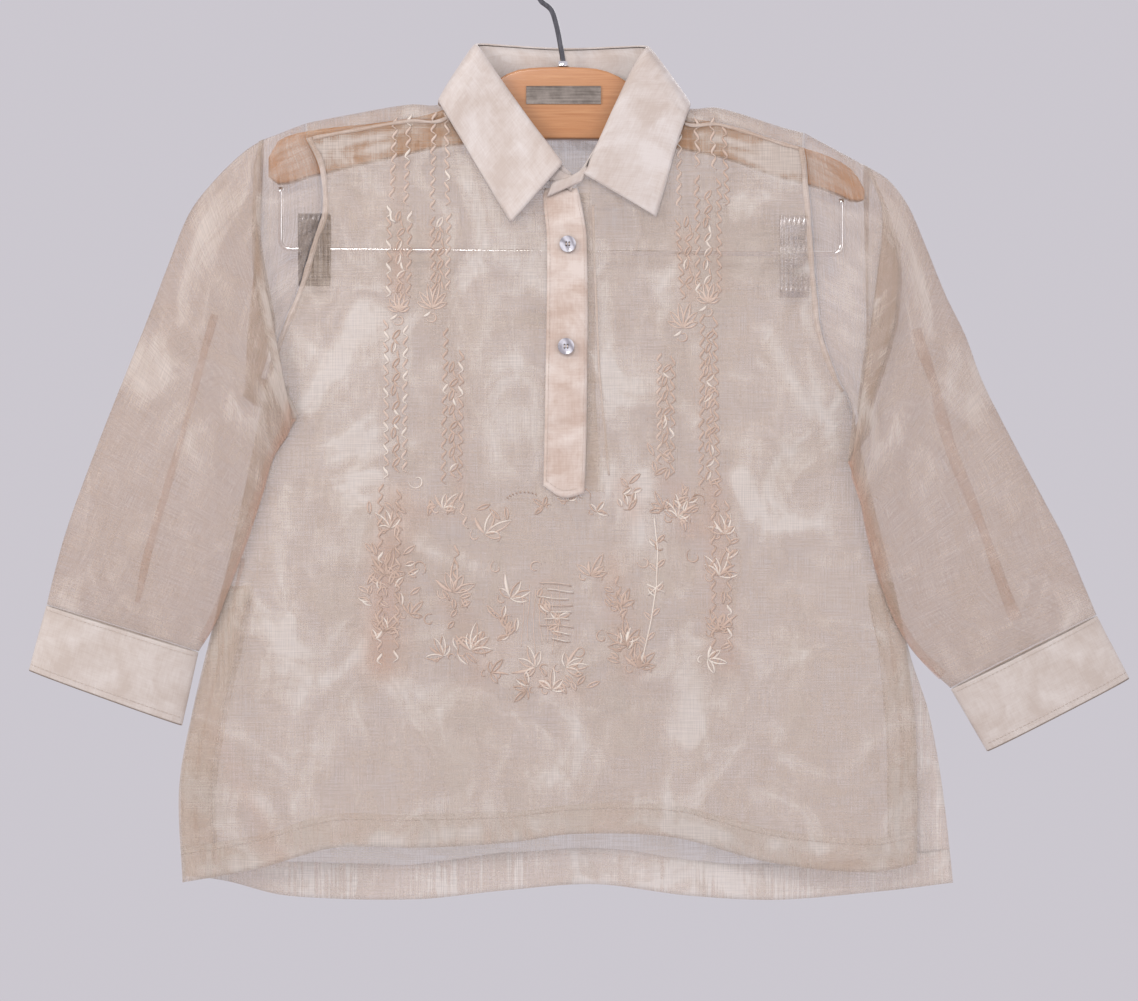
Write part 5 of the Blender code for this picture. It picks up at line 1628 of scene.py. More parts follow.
STEM = ((65.5, -404.6), (68, -428), (67, -453.6), (63, -480), (57, -506))
stem = np.array([along(STEM, t) for t in np.linspace(0, 1, 30)])
lay(stem, STROKE * 0.8, LIT)
for t in (5, 10, 15, 20, 25):
    loop_leaf(stem[t][0], stem[t][1], 45, 8, 2.4)
    loop_leaf(stem[t][0], stem[t][1] - 3, 135, 8, 2.4)
for across in ((60, -452, 73, -458), (61, -460, 72, -450)):
    lay([across[:2], across[2:]], 0.5, LIT)

# %% [markdown]
# ### The openwork ladder
#
# Drawn thread work pulls some threads out and binds the rest into bars. Here it is bars across
# and thinner ones down, with a small arc of stitches above it.

# %% Draw the openwork ladder
LADDER_LEFT, LADDER_RIGHT, LADDER_TOP, LADDER_FOOT = -29.0, 6.0, -449.0, -497.0
for k in range(7):
    t = np.linspace(0, 1, 14)
    x = LADDER_LEFT + (LADDER_RIGHT - 9 - LADDER_LEFT) * k / 6 + 0.9 * np.sin(5 * t + k)
    top = LADDER_TOP - 12 + 8 * math.sin(1.3 * k)
    line = np.stack([x, top + (LADDER_FOOT + 5 * math.sin(2.2 * k) - top) * t], axis=1)
    embroidery.add(on_front(line), STROKE * 0.45, tone=PLAIN)
for k in range(9):
    t = np.linspace(0, 1, 9)
    start = LADDER_LEFT + 12 + 5 * math.sin(1.9 * k) + 0.8 * k
    z = LADDER_TOP + (LADDER_FOOT - LADDER_TOP) * (k + 0.4) / 9.5
    stop = LADDER_RIGHT + 2 * math.sin(2.3 * k)
    sag = 0.6 * np.sin(4 * t + k) - 1.2 * t
    line = np.stack([start + (stop - start) * t, z + sag], axis=1)
    embroidery.add(on_front(line, 0.4), STROKE * 0.5, tone=LIT if k % 3 else PLAIN)
    # Painted shadow: a thin dark strand just below each bar.
    shadow_ply.add(on_front(line + (0.3, -1.1), 0.2), STROKE * 0.35, tone=SHADE)
for k in range(9):
    angle = math.radians(150 - 12 * k)
    spot = (-28 + 14 * math.cos(angle), -386 - 8 + 8 * math.sin(angle))
    lay([(spot[0], spot[1] + 0.6), (spot[0] + 0.5, spot[1] - 0.6)], 0.55, SHADE)
embroidery_piece = embroidery.make("embroidery", EMBROIDERY_THREAD)
shadow_ply_piece = shadow_ply.make("embroidery_shadow_ply", EMBROIDERY_THREAD)
print("The embroidery has", len(embroidery_piece.data.polygons), "faces")

# %% [markdown]
# ## Seams
#
# On sheer cloth a seam is one of the strongest marks: the edges folded inside it make a paler or
# pinker strip. Each seam here is a narrow strip of denser organza that lies on the cloth's own
# points.

# %% Strips along the seams
def ribbon(name, middle_line, wide, look, out, wall=0.3, seed=0.0):
    """A flat strip along a line, lying across a direction that faces out."""
    line = np.asarray(middle_line, float)
    ahead = np.gradient(line, axis=0)
    ahead /= np.linalg.norm(ahead, axis=1)[:, None] + 1e-9
    crown = np.broadcast_to(np.asarray(out, float), line.shape)
    across = np.cross(ahead, crown)
    across /= np.linalg.norm(across, axis=1)[:, None] + 1e-9
    half = wide / 2 + uneven(len(line), seed, 0.12 * wide)[:, None]
    rows = [line - across * half, line, line + across * half]
    made = grid_sheet(name, np.array(rows))
    return give(thicken(made, wall, out), look)


def fine_line(points, count):
    return np.array([along(points, t) for t in np.linspace(0, 1, count)])


seam_strips = {"front": [], "left": [], "right": []}
for side, sign in (("left", -1), ("right", 1)):
    xs = np.linspace(sign * (NECK_HALF + 4), sign * (180 if sign < 0 else 170), 60)
    zs = ridge(xs) - SEAM_DROP - 1.5
    y = front_y(xs, zs) - 0.7
    line = np.stack([xs, y, zs], axis=1)
    made = ribbon(f"shoulder_seam_{side}", line, 2.6, SEAM_CLOTH, (0, -1, 0), seed=sign)
    seam_strips["front"].append(made)
    edge = front_points[::-1, 0 if sign < 0 else -1]
    arm = LEFT_ARM if sign < 0 else RIGHT_ARM
    edge = edge[edge[:, 2] > arm.underarm_z + 4]
    edge = fine_line(edge + np.array([-sign * 2.4, -0.9, 0.0]), 80)
    made = ribbon(f"armhole_seam_{side}", edge, 3.8, SEAM_CLOTH, (0, -1, 0), seed=sign * 2)
    seam_strips["front"].append(made)
print("Seam strips on the front:", [made.name for made in seam_strips["front"]])

# %% [markdown]
# ### Sleeve seams
#
# A sleeve's seam allowance lies inside the tube and shows through it as a pinker stripe. Each
# stripe follows the tube's own points, so it stays on the cloth at every bend.

# %% Seam allowances inside the sleeves
SEAM_SHARES = {"left": (0.35, 0.52), "right": (0.25, 0.42)}
SEAM_WIDTHS = {"left": 5.0, "right": 8.0}
for side, arm in ARMS:
    points = sleeve_points[side]
    count = len(RING_SHARES)
    back_shares = RING_SHARES[-2:0:-1]
    start, stop = 5 * LOFT_STEPS + 8, len(points) - 4
    line = []
    for row in range(start, stop):
        share = np.interp(row, (start, stop), SEAM_SHARES[side])
        line.append([np.interp(share, back_shares[::-1], points[row, count:, k][::-1]) for k in range(3)])
    line = np.array(line)
    line[:, 1] -= 0.9
    wide = SEAM_WIDTHS[side]
    made = ribbon(f"sleeve_seam_{side}", line[::-1], wide, BLUSH_CLOTH, (0, -1, 0), seed=arm.sign)
    seam_strips[side].append(made)
    inner = points[4 * LOFT_STEPS : -2, count - 4].copy()
    inner[:, 1] += 0.7
    made = ribbon(f"underarm_seam_{side}", inner, 6.0, BLUSH_CLOTH, (0, -1, 0), seed=arm.sign * 3)
    seam_strips[side].append(made)

# %% [markdown]
# ### Doubled edges
#
# The turned edge of a slit facing, and the edge of the opening beside the placket, show through
# the front as fine lines.

# %% Doubled lines down the slit facings
for side, column in (("left", 2), ("right", -3)):
    line = front_points[HEM_ROWS : SLIT_TOP_ROW + 6, column].copy()
    line[:, 1] += 1.6
    made = ribbon(f"slit_line_{side}", line, 2.6, BLUSH_CLOTH, (0, -1, 0), seed=column)
    seam_strips["front"].append(made)
OPENING_EDGE = (At(21.5, -180), At(23, -230), At(26, -300), At(33, -374))
line = [(x, float(front_y(np.array(x), np.array(z))) - 0.35, z) for x, z in OPENING_EDGE]
made = ribbon("opening_edge_line", fine_line(line, 60), 1.5, SEAM_CLOTH, (0, -1, 0), seed=0.4)
seam_strips["front"].append(made)

# %% [markdown]
# ### Stitches
#
# Each stitch is a short thread that rises in its middle and dips at its ends. Rows of them run
# just inside every turned edge, as a sewing machine leaves them.

# %% Rows of stitches
stitches = Threads(sides=4)


def stitch_row(line, length=2.1, gap=1.0, thick=0.17, out=(0, -1, 0)):
    """Small stitches along a line, each a short strand that dips at both ends."""
    line = np.asarray(line, float)
    total = float(np.linalg.norm(np.diff(line, axis=0), axis=1).sum())
    count = int(total / (length + gap))
    for k in range(count):
        ends = [along(line, (k * (length + gap) + shift) / total) for shift in (0, length / 2, length)]
        ends[1] = ends[1] + np.array(out, float) * 0.12
        stitches.add(ends, thick, out, tone=0.45)


hem_line = front_points[HEM_ROWS - 1].copy()
hem_line[:, 1] -= 0.15
stitch_row(hem_line)
hem_line = back_points[HEM_ROWS - 1].copy()
hem_line[:, 1] += 0.15
stitch_row(hem_line, out=(0, 1, 0))
for column in (FACING_COLUMNS, -1 - FACING_COLUMNS):
    line = front_points[HEM_ROWS:SLIT_TOP_ROW, column].copy()
    line[:, 1] -= 0.15
    stitch_row(line)
    line = back_points[HEM_ROWS:SLIT_TOP_ROW, column].copy()
    line[:, 1] += 0.15
    stitch_row(line, out=(0, 1, 0))
for column in (1, -2):
    line = placket_points[2:-1, column].copy()
    line[:, 1] -= 0.1
    stitch_row(line)
line = placket_points[2, 1:-1].copy()
line[:, 1] -= 0.1
stitch_row(line)
for side, _ in ARMS:
    points = cuff_points[side]
    half = len(RING_SHARES)
    for row in (2, -4):
        line = points[row, 1 : half - 1].copy()
        line[:, 1] -= 0.12
        stitch_row(line)
        line = points[row, half + 1 : -1].copy()
        line[:, 1] += 0.12
        stitch_row(line, out=(0, 1, 0))
stitch_piece = stitches.make("stitches", SEWING_THREAD)
print("Stitches:", len(stitch_piece.data.polygons), "faces")

# %% [markdown]
# ### Painted shade on the cuff rims
#
# A cuff's lower edge turns away from the light. A fine dark cord along it is painted shade for that edge.

# %% Dark cords along the cuffs' lower rims, as painted shade
rim_shade_cords = []
for side, _ in ARMS:
    cords = Threads(sides=6)
    rim = cuff_points[side][-1]
    half = len(RING_SHARES)
    front_side = rim[1 : half - 1] + np.array([0.0, -0.1, 0.25])
    cords.add(fine_line(front_side, 90), 0.38)
    rim_shade_cords.append(cords.make(f"cuff_{side}_rim_shade_cord", RIM_SHADE_THREAD))

# %% [markdown]
# ## Buttons
#
# A shirt button is turned from shell: a flat disc with a rounded rim, a shallow dish and four
# holes. It starts as a cylinder. Its face is inset and pushed in for the dish, its edges are
# bevelled, and four small cylinders are cut out of it. The second button is a copy of the first.

# %% Pearl
pearl, tree, shader = start_finish("grey_pearl", 0.16)
shader.inputs["Coat Weight"].default_value = 0.6
shader.inputs["Coat Roughness"].default_value = 0.08
clouds = noise(tree, place_of(tree, "Object"), 240.0, 4.0, 0.6, 1.6)
bands_of_pearl = wave(tree, place_of(tree, "Object", turn=(0.4, 0.2, 0.7)), 60.0, "X", 5.0)
share = sums(tree, "MULTIPLY", sums(tree, "ADD", clouds, bands_of_pearl), 0.5)
colour = tint(tree, spread(tree, share, 0.25, 0.75, 0.0, 1.0), (0.34, 0.32, 0.35), (0.78, 0.77, 0.82))
tree.links.new(colour, shader.inputs["Base Color"])
tree.links.new(spread(tree, clouds, 0.3, 0.7, 0.12, 0.28), shader.inputs["Roughness"])
relief(tree, shader, clouds, 0.1, 0.0002)

# %% [markdown]
# ### The button's shape
#
# Four helpers come first, since the hanger uses them too: one names a new primitive, one picks
# faces in edit mode and one applies where an object stands.

# %% Turn a button
BUTTON_RADIUS = 5.9
BUTTON_THICK = 2.2
BUTTONS = (At(3.4, -208.1), At(2.2, -281.5))


def fresh(name):
    """Names the new primitive, which Blender leaves active and selected all over."""
    made = bpy.context.object
    made.name = name
    made.data.name = name
    return made


def drill_hole(made, sides, radius, depth, place=(0, 0, 0)):
    """Cuts a round hole along Z with a cylinder, which is then thrown away."""
    bpy.ops.object.select_all(action="DESELECT")
    bpy.ops.mesh.primitive_cylinder_add(
        vertices=sides, radius=radius * MM, depth=depth * MM, location=Vector(place) * MM
    )
    drill = fresh("drill")
    use_modifier(made, "BOOLEAN", operation="DIFFERENCE", object=drill, solver="EXACT")
    bpy.data.objects.remove(drill)


def pick_faces(made, wanted):
    """In edit mode, selects only the faces whose middle and normal fit."""
    bpy.ops.mesh.select_all(action="DESELECT")
    bpy.ops.mesh.select_mode(type="FACE")
    bm = bmesh.from_edit_mesh(made.data)
    for face in bm.faces:
        face.select = bool(wanted(face.calc_center_median(), face.normal))
    bm.select_flush(True)
    bmesh.update_edit_mesh(made.data)


def settle(made):
    """Applies place, turn and size, so that the object stands at the origin."""
    bpy.ops.object.select_all(action="DESELECT")
    bpy.context.view_layer.objects.active = made
    made.select_set(True)
    bpy.ops.object.transform_apply(location=True, rotation=True, scale=True)


def placket_at(x, z):
    """The placket's outer face, in Y, at a point."""
    x, z = np.array(float(x)), np.array(float(z))
    panel = float(panel_depth(x, z, FRONT_EDGES, "front", FRONT_FOLDS, ()))
    return -panel - GAP - STIFF - 0.5


bpy.ops.object.select_all(action="DESELECT")
bpy.ops.mesh.primitive_cylinder_add(vertices=48, radius=BUTTON_RADIUS * MM, depth=BUTTON_THICK * MM)
button = fresh("button_upper")
bpy.ops.object.mode_set(mode="EDIT")
pick_faces(button, lambda middle, normal: normal.z > 0.9)
bpy.ops.mesh.inset(thickness=1.5 * MM)
bpy.ops.transform.translate(value=(0, 0, -0.55 * MM))
bpy.ops.mesh.inset(thickness=0.9 * MM)
bpy.ops.transform.translate(value=(0, 0, -0.25 * MM))
bpy.ops.object.mode_set(mode="OBJECT")
round_edges(button, 0.35, 3)
for step in range(4):
    angle = math.pi / 4 + step * math.pi / 2
    drill_hole(button, 16, 0.75, 8, (1.5 * math.cos(angle), 1.5 * math.sin(angle), 0))
smooth_up_to(button, 35)
give(button, pearl)
buttons = [button]
lower = button.copy()
lower.data = button.data.copy()
lower.name = "button_lower"
scene.collection.objects.link(lower)
buttons.append(lower)
for made, place in zip(buttons, BUTTONS):
    made.rotation_euler = (math.pi / 2, 0, 0)
    y = placket_at(place.x, place.z) - 0.9 - BUTTON_THICK / 2
    made.location = (place.x * MM, y * MM, place.z * MM)
    settle(made)
print("Buttons:", [made.name for made in buttons])

# %% [markdown]
# ### Button thread
#
# Two loops pass through the holes, and a short shank joins the button to the placket.

# %% Sew the buttons on
button_threads = Threads(sides=6)
for place in BUTTONS:
    y = placket_at(place.x, place.z) - 0.9 - BUTTON_THICK
    for x in (place.x - 1.06, place.x + 1.06):
        loop = ((1.6, -1.06), (0.55, -0.9), (0.35, 0), (0.55, 0.9), (1.6, 1.06))
        ends = [(x, y + depth, place.z + rise) for depth, rise in loop]
        button_threads.add(loft([[end] for end in ends], 4)[:, 0], 0.34, (0, -1, 0.01), 1.0)
    shank = [(place.x, y + 1.2, place.z), (place.x + 0.1, y + 3.0, place.z)]
    button_threads.add(fine_line(shank, 4), 0.9, (0, 0, 1), 1.0)
button_thread_piece = button_threads.make("button_threads", SEWING_THREAD)

# %% [markdown]
# ## Hanger
#
# The wooden body is sawn from a board and its edges are rounded. It starts as a flat square that
# is given the size of its first section. The square is then extruded from station to station
# along a table of heights, and a Bevel modifier rounds the long edges.

# %% Varnished wood
wood, tree, shader = start_finish("varnished_wood", 0.35)
shader.inputs["Coat Weight"].default_value = 0.35
shader.inputs["Coat Roughness"].default_value = 0.15
grain_place = place_of(tree, "Object", turn=(0, 0.06, 0), size=(1.2, 16, 30))
grain = noise(tree, grain_place, 14.0, 6.0, 0.62, 1.2)
pores = noise(tree, place_of(tree, "Object", size=(60, 700, 1400)), 1.0, 2.0)
broad = noise(tree, place_of(tree, "Object", size=(3, 12, 22)), 2.0, 2.0, 0.5, 0.5)
colour = tint(tree, spread(tree, grain, 0.32, 0.68, 0.0, 1.0), (0.50, 0.215, 0.085), (0.66, 0.33, 0.15))
colour = tint(tree, spread(tree, broad, 0.35, 0.7, 0.0, 0.5), colour, (0.58, 0.25, 0.10))
# Painted shade: faces that point down are darkened towards deep brown, as an underside in shade.
facing = tree.nodes.new("ShaderNodeNewGeometry")
parts = tree.nodes.new("ShaderNodeSeparateXYZ")
tree.links.new(facing.outputs["Normal"], parts.inputs["Vector"])
colour = tint(tree, spread(tree, parts.outputs["Z"], -0.35, -0.9, 0.0, 0.75), colour, (0.16, 0.065, 0.03))
tree.links.new(colour, shader.inputs["Base Color"])
tree.links.new(spread(tree, pores, 0.3, 0.7, 0.42, 0.28), shader.inputs["Roughness"])
relief(tree, shader, sums(tree, "ADD", grain, pores), 0.15, 0.0004)

# %% [markdown]
# ### The wooden body
#
# Extruding from station to station keeps the long grain edges continuous, which a stack of
# separate blocks would not.

# %% Saw and round the wooden body
WOOD = table(
    Wood,
    (-213, -144, -158), (-205, -131.5, -163.5), (-181, -124.5, -157.5), (-126, -118, -144.5),
    (-92, -111.5, -137), (-62, -98, -133), (-42, -84.5, -131.5), (-26, -79.6, -131),
    (21, -79.6, -131), (39, -85, -132), (62, -100, -134), (92, -115, -139), (117, -120, -144.5),
    (153, -131, -157), (194, -144, -169), (210, -154, -176), (218, -167, -175),
)
HANGER_DEPTH = 12.0
stations = np.concatenate([[-213, -210, -206], np.arange(-200, 212, 8.0), [213, 216, 218]])
first = stations[0]


def section_of(x):
    top, bottom = float(read(WOOD, "top", x)), float(read(WOOD, "bottom", x))
    near_end = min(x - WOOD[0].x, WOOD[-1].x - x)
    return (top + bottom) / 2, top - bottom, HANGER_DEPTH * (0.72 + 0.28 * float(smoothstep(near_end / 9)))


bpy.ops.object.select_all(action="DESELECT")
bpy.ops.mesh.primitive_plane_add(size=1, rotation=(0, math.pi / 2, 0))
body = fresh("hanger_body")
middle, tall, deep = section_of(first)
body.scale = (tall * MM, deep * MM, 1)
body.location = (first * MM, 0, middle * MM)
settle(body)
bpy.ops.object.mode_set(mode="EDIT")
bpy.ops.mesh.select_all(action="SELECT")
for before, x in zip(stations, stations[1:]):
    was_middle, was_tall, was_deep = section_of(before)
    middle, tall, deep = section_of(x)
    bpy.ops.mesh.extrude_region_move(
        TRANSFORM_OT_translate={"value": ((x - before) * MM, 0, (middle - was_middle) * MM)}
    )
    bpy.ops.transform.resize(
        value=(1, deep / was_deep, tall / was_tall), center_override=(x * MM, 0, middle * MM)
    )
bpy.ops.mesh.select_all(action="SELECT")
bpy.ops.mesh.normals_make_consistent(inside=False)
bpy.ops.object.mode_set(mode="OBJECT")
use_modifier(body, "BEVEL", width=2.6 * MM, segments=5, limit_method="ANGLE", angle_limit=math.radians(50))
smooth_up_to(body, 60)
give(body, wood)
print("The wooden body has", len(body.data.polygons), "faces")

# %% [markdown]
# ## Metal parts
#
# The hook, the bar and the small collar are polished, so their nodes only vary the roughness with
# fine drawing marks. The clips are duller, pressed from sheet and ribbed.

# %% Metals
def metal(name, dark, pale, roughness, marks, coarse):
    made, tree, shader = start_finish(name, roughness, 1.0)
    lines = noise(tree, place_of(tree, "Object", size=marks), 1.0, 3.0)
    spots = noise(tree, place_of(tree, "Object"), coarse, 4.0, 0.6)
    share = sums(tree, "MULTIPLY", sums(tree, "ADD", lines, spots), 0.5)
    colour = tint(tree, spread(tree, share, 0.3, 0.7, 0.0, 1.0), dark, pale)
    tree.links.new(colour, shader.inputs["Base Color"])
    gloss = spread(tree, share, 0.3, 0.7, roughness + 0.08, roughness - 0.03)
    tree.links.new(gloss, shader.inputs["Roughness"])
    relief(tree, shader, share, 0.06, 0.0002)
    return made


chrome = metal("polished_chrome", (0.84, 0.84, 0.86), (0.97, 0.97, 0.98), 0.1, (40, 900, 900), 90.0)
hook_steel = metal("dark_chrome", (0.10, 0.10, 0.11), (0.30, 0.30, 0.32), 0.12, (900, 900, 40), 90.0)
clip_dark = metal("dark_clip_steel", (0.05, 0.05, 0.055), (0.30, 0.30, 0.32), 0.26, (900, 60, 900), 160.0)
clip_pale = metal("pale_clip_steel", (0.50, 0.49, 0.52), (0.85, 0.84, 0.87), 0.24, (900, 60, 900), 160.0)


def rubber_finish():
    made, tree, shader = start_finish("clip_rubber", 0.7)
    grain = noise(tree, place_of(tree, "Object"), 900.0, 3.0)
    tree.links.new(tint(tree, grain, (0.03, 0.03, 0.035), (0.08, 0.08, 0.085)), shader.inputs["Base Color"])
    tree.links.new(spread(tree, grain, 0.3, 0.7, 0.8, 0.6), shader.inputs["Roughness"])
    relief(tree, shader, grain, 0.3, 0.0002)
    return made


rubber = rubber_finish()

# %% [markdown]
# ### Wires
#
# The hook and the trouser bar are both one wire of the same gauge, bent round a former. A round
# section is carried along each bent line.

# %% Bend the wires
WIRE = 1.9
HOOK_RADIUS = 20.0
BAR_LEFT = At(-204.5, -210.0)
BAR_RIGHT = At(201.6, -213.8)
BEND_RADIUS = 7.0


def bend_wire(name, points, radius, look):
    """A round wire along a smooth line, closed at both ends and made a mesh."""
    wires = Threads(sides=20)
    line = np.asarray(points, float)
    wires.add(line, radius, (0, -1, 0), 1.0)
    return wires.make(name, look)


rise = [(0, 0, -78.5), (-0.1, 0, -73.5), (-2.0, 0, -62), (-4.8, 0, -48), (-8.5, 0, -37)]
arc_points = []
for step in range(49):
    angle = math.radians(222 - 250 * step / 48)
    arc_points.append((HOOK_RADIUS * math.cos(angle), 0, WIRE - HOOK_RADIUS + HOOK_RADIUS * math.sin(angle)))
neck = loft([[point] for point in rise + arc_points[:3]], 6)[:, 0]
hook = bend_wire("hook_wire", list(neck)[:-1] + arc_points[2:], WIRE, hook_steel)

bar_line = [(BAR_LEFT.x, 0, z) for z in np.linspace(-165.2, BAR_LEFT.z + BEND_RADIUS + 1, 12)]
for corner, start in ((BAR_LEFT, 180), (BAR_RIGHT, 270)):
    sign = 1 if start == 180 else -1
    for step in range(13):
        angle = math.radians(start + 90 * step / 12)
        x = corner.x + sign * BEND_RADIUS + BEND_RADIUS * math.cos(angle)
        bar_line.append((x, 0, corner.z + BEND_RADIUS + BEND_RADIUS * math.sin(angle)))
bar_line += [(BAR_RIGHT.x, 0, z) for z in np.linspace(BAR_RIGHT.z + BEND_RADIUS + 1, -173.6, 12)]
bar = bend_wire("trouser_bar_wire", bar_line, WIRE, chrome)
print("Wires:", hook.name, bar.name)

# %% [markdown]
# ### The hook's collar
#
# A small turned ring covers the hole where the hook enters the wood.

# %% Turn the hook's collar
bpy.ops.object.select_all(action="DESELECT")
bpy.ops.mesh.primitive_cylinder_add(vertices=40, radius=4.3 * MM, depth=3.8 * MM, location=(0, 0, -76.1 * MM))
hook_ring = fresh("hook_base_collar")
settle(hook_ring)
bpy.ops.object.mode_set(mode="EDIT")
pick_faces(hook_ring, lambda middle, normal: normal.z > 0.9)
bpy.ops.transform.resize(value=(0.82, 0.82, 1), center_override=(0, 0, -74.2 * MM))
bpy.ops.object.mode_set(mode="OBJECT")
round_edges(hook_ring, 0.5, 3)
drill_hole(hook_ring, 24, WIRE + 0.1, 12, (0, 0, -76))
smooth_up_to(hook_ring, 35)
give(hook_ring, chrome)

# %% [markdown]
# ### The plate
#
# A thin plate is let on to the wood's face. It is left blank.

# %% The blank plate
plate_look, tree, shader = start_finish("brown_plate", 0.4, 0.3)
brushed = noise(tree, place_of(tree, "Object", size=(30, 900, 900)), 1.0, 3.0)
patina = noise(tree, place_of(tree, "Object"), 120.0, 5.0, 0.6)
share = sums(tree, "MULTIPLY", sums(tree, "ADD", brushed, patina), 0.5)
share_of_pale = spread(tree, share, 0.35, 0.65, 0.0, 1.0)
colour = tint(tree, share_of_pale, (0.15, 0.125, 0.105), (0.36, 0.31, 0.27))
tree.links.new(colour, shader.inputs["Base Color"])
tree.links.new(spread(tree, patina, 0.3, 0.7, 0.5, 0.3), shader.inputs["Roughness"])
relief(tree, shader, share, 0.2, 0.0003)
bpy.ops.object.select_all(action="DESELECT")
bpy.ops.mesh.primitive_cube_add(size=1)
plate = fresh("hanger_blank_plate")
plate.scale = (54 * MM, 0.7 * MM, 12.9 * MM)
plate.location = (0.4 * MM, -(HANGER_DEPTH / 2 + GAP + 0.35) * MM, -99.3 * MM)
settle(plate)
bpy.ops.object.mode_set(mode="EDIT")
pick_faces(plate, lambda middle, normal: normal.y < -0.9)
bpy.ops.mesh.inset(thickness=0.9 * MM)
bpy.ops.transform.translate(value=(0, 0.25 * MM, 0))
bpy.ops.object.mode_set(mode="OBJECT")
round_edges(plate, 0.15, 2)
give(plate, plate_look)

# %% [markdown]
# ## Clips
#
# A clip is two pressed jaws on a slide that runs along the bar. A grid is shaped to the jaw's
# profile, its ribs are pressed into it as a wave across, and Solidify gives the sheet its
# thickness. Rubber pads line the jaws' feet.

# %% Press the jaws
Clip = namedtuple("Clip", "side x width top foot look")
CLIPS = (
    Clip("left", -180.0, 23.0, 25.5, 26.5, clip_dark),
    Clip("right", 167.4, 21.0, 27.5, 31.5, clip_pale),
)
RIBS = 6
RIB_DEPTH = 0.55


def bar_z(x):
    share = (x - BAR_LEFT.x) / (BAR_RIGHT.x - BAR_LEFT.x)
    return BAR_LEFT.z + (BAR_RIGHT.z - BAR_LEFT.z) * share


def jaw_line(clip):
    """The jaw seen from its end: how far out it stands at each height."""
    return [
        (clip.top, 6.2), (clip.top * 0.75, 6.5), (clip.top * 0.5, 6.2), (6, 5.1), (0, 5.2), (-5, 4.9),
        (-clip.foot * 0.5, 3.5), (-clip.foot * 0.85, 2.1), (-clip.foot, 1.8),
    ]


clip_pieces = {"left": {}, "right": {}}
for clip in CLIPS:
    hub = bar_z(clip.x)
    for face, name in ((-1, "front"), (1, "back")):
        bpy.ops.object.select_all(action="DESELECT")
        bpy.ops.mesh.primitive_grid_add(x_subdivisions=60, y_subdivisions=40, size=1)
        jaw = fresh(f"clip_{clip.side}_{name}_jaw")
        line = jaw_line(clip)
        heights = [row[0] for row in line][::-1]
        outs = [row[1] for row in line][::-1]
        for vertex in jaw.data.vertices:
            u, v = vertex.co.x + 0.5, vertex.co.y + 0.5
            z = -clip.foot + (clip.top + clip.foot) * v
            rib = RIB_DEPTH * math.cos(2 * math.pi * RIBS * u)
            rib *= float(smoothstep((z + clip.foot - 4) / 4))
            rib *= float(smoothstep((clip.top - 1.5 - z) / 3))
            side_turn = 0.9 * float(smoothstep((abs(u - 0.5) - 0.46) / 0.04))
            y = np.interp(z, heights, outs) + rib - side_turn
            vertex.co = Vector((clip.x + clip.width * (u - 0.5), face * y, hub + z)) * MM
        face_towards(jaw, (0, face, 0))
        use_modifier(jaw, "SOLIDIFY", thickness=1.0 * MM, offset=-1.0)
        smooth_up_to(jaw, 50)
        clip_pieces[clip.side][name] = give(jaw, clip.look)
    bpy.ops.object.select_all(action="DESELECT")
    bpy.ops.mesh.primitive_cylinder_add(vertices=32, radius=3.2 * MM, depth=16 * MM)
    slide = fresh(f"clip_{clip.side}_slide_tube")
    round_edges(slide, 0.35, 2)
    drill_hole(slide, 32, WIRE + 0.15, 20)
    slide.rotation_euler = (0, math.pi / 2, 0)
    slide.location = (clip.x * MM, 0, hub * MM)
    settle(slide)
    smooth_up_to(slide, 35)
    clip_pieces[clip.side]["slide"] = give(slide, chrome)
    bpy.ops.object.select_all(action="DESELECT")
    bpy.ops.mesh.primitive_cube_add(size=1)
    pad = fresh(f"clip_{clip.side}_pads")
    pad.scale = (clip.width * 0.94 * MM, 1.3 * MM, 6.0 * MM)
    pad.location = (clip.x * MM, 0, (hub - clip.foot + 3.2) * MM)
    settle(pad)
    use_modifier(pad, "BEVEL", width=0.3 * MM, segments=2)
    clip_pieces[clip.side]["pads"] = give(pad, rubber)
print("Clips:", {side: sorted(found) for side, found in clip_pieces.items()})

# %% [markdown]
#
# Every piece rides on the one rigid body, and stands for the plain solid that it replaces. Each
# cloth piece also states the size it is cut to before it is sewn, in metres.

# %% Replace the plain solids
body_pieces = [front, back, placket, placket_under, collar_stand, collar_leaf, upper_tab, lower_tab]
body_pieces += [embroidery_piece, shadow_ply_piece, stitch_piece]
body_pieces += bands["front"] + bands["back"] + list(sleeves.values()) + list(cuffs.values()) + rim_shade_cords
for strips in seam_strips.values():
    body_pieces += strips
body_pieces += buttons + [button_thread_piece]
body_pieces += [body, hook, bar, hook_ring, plate]
for found in clip_pieces.values():
    body_pieces += list(found.values())
for piece in body_pieces:
    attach(piece, "root")

REPLACED = [
    (front, "front", "sheer_cloth"),
    (back, "back", "sheer_cloth"),
    (placket, "placket", "stiff_cloth"),
    (placket_under, "placket_under", "stiff_cloth"),
    (collar_stand, "collar_stand", "stiff_cloth"),
    (collar_leaf, "collar_leaf", "stiff_cloth"),
    (buttons[0], "button_1", "pearl"),
    (buttons[1], "button_2", "pearl"),
    (body, "hanger_wood", "varnished_wood"),
    (plate, "hanger_plate", "plate"),
    (hook, "hook", "chrome"),
    (hook_ring, "hook_collar", "chrome"),
    (bar, "trouser_bar", "chrome"),
]
for panel in ("front", "back"):
    REPLACED.append((bands[panel][0], f"hem_{panel}", "sheer_cloth"))
    REPLACED.append((bands[panel][1], f"slit_{panel}_left", "sheer_cloth"))
    REPLACED.append((bands[panel][2], f"slit_{panel}_right", "sheer_cloth"))
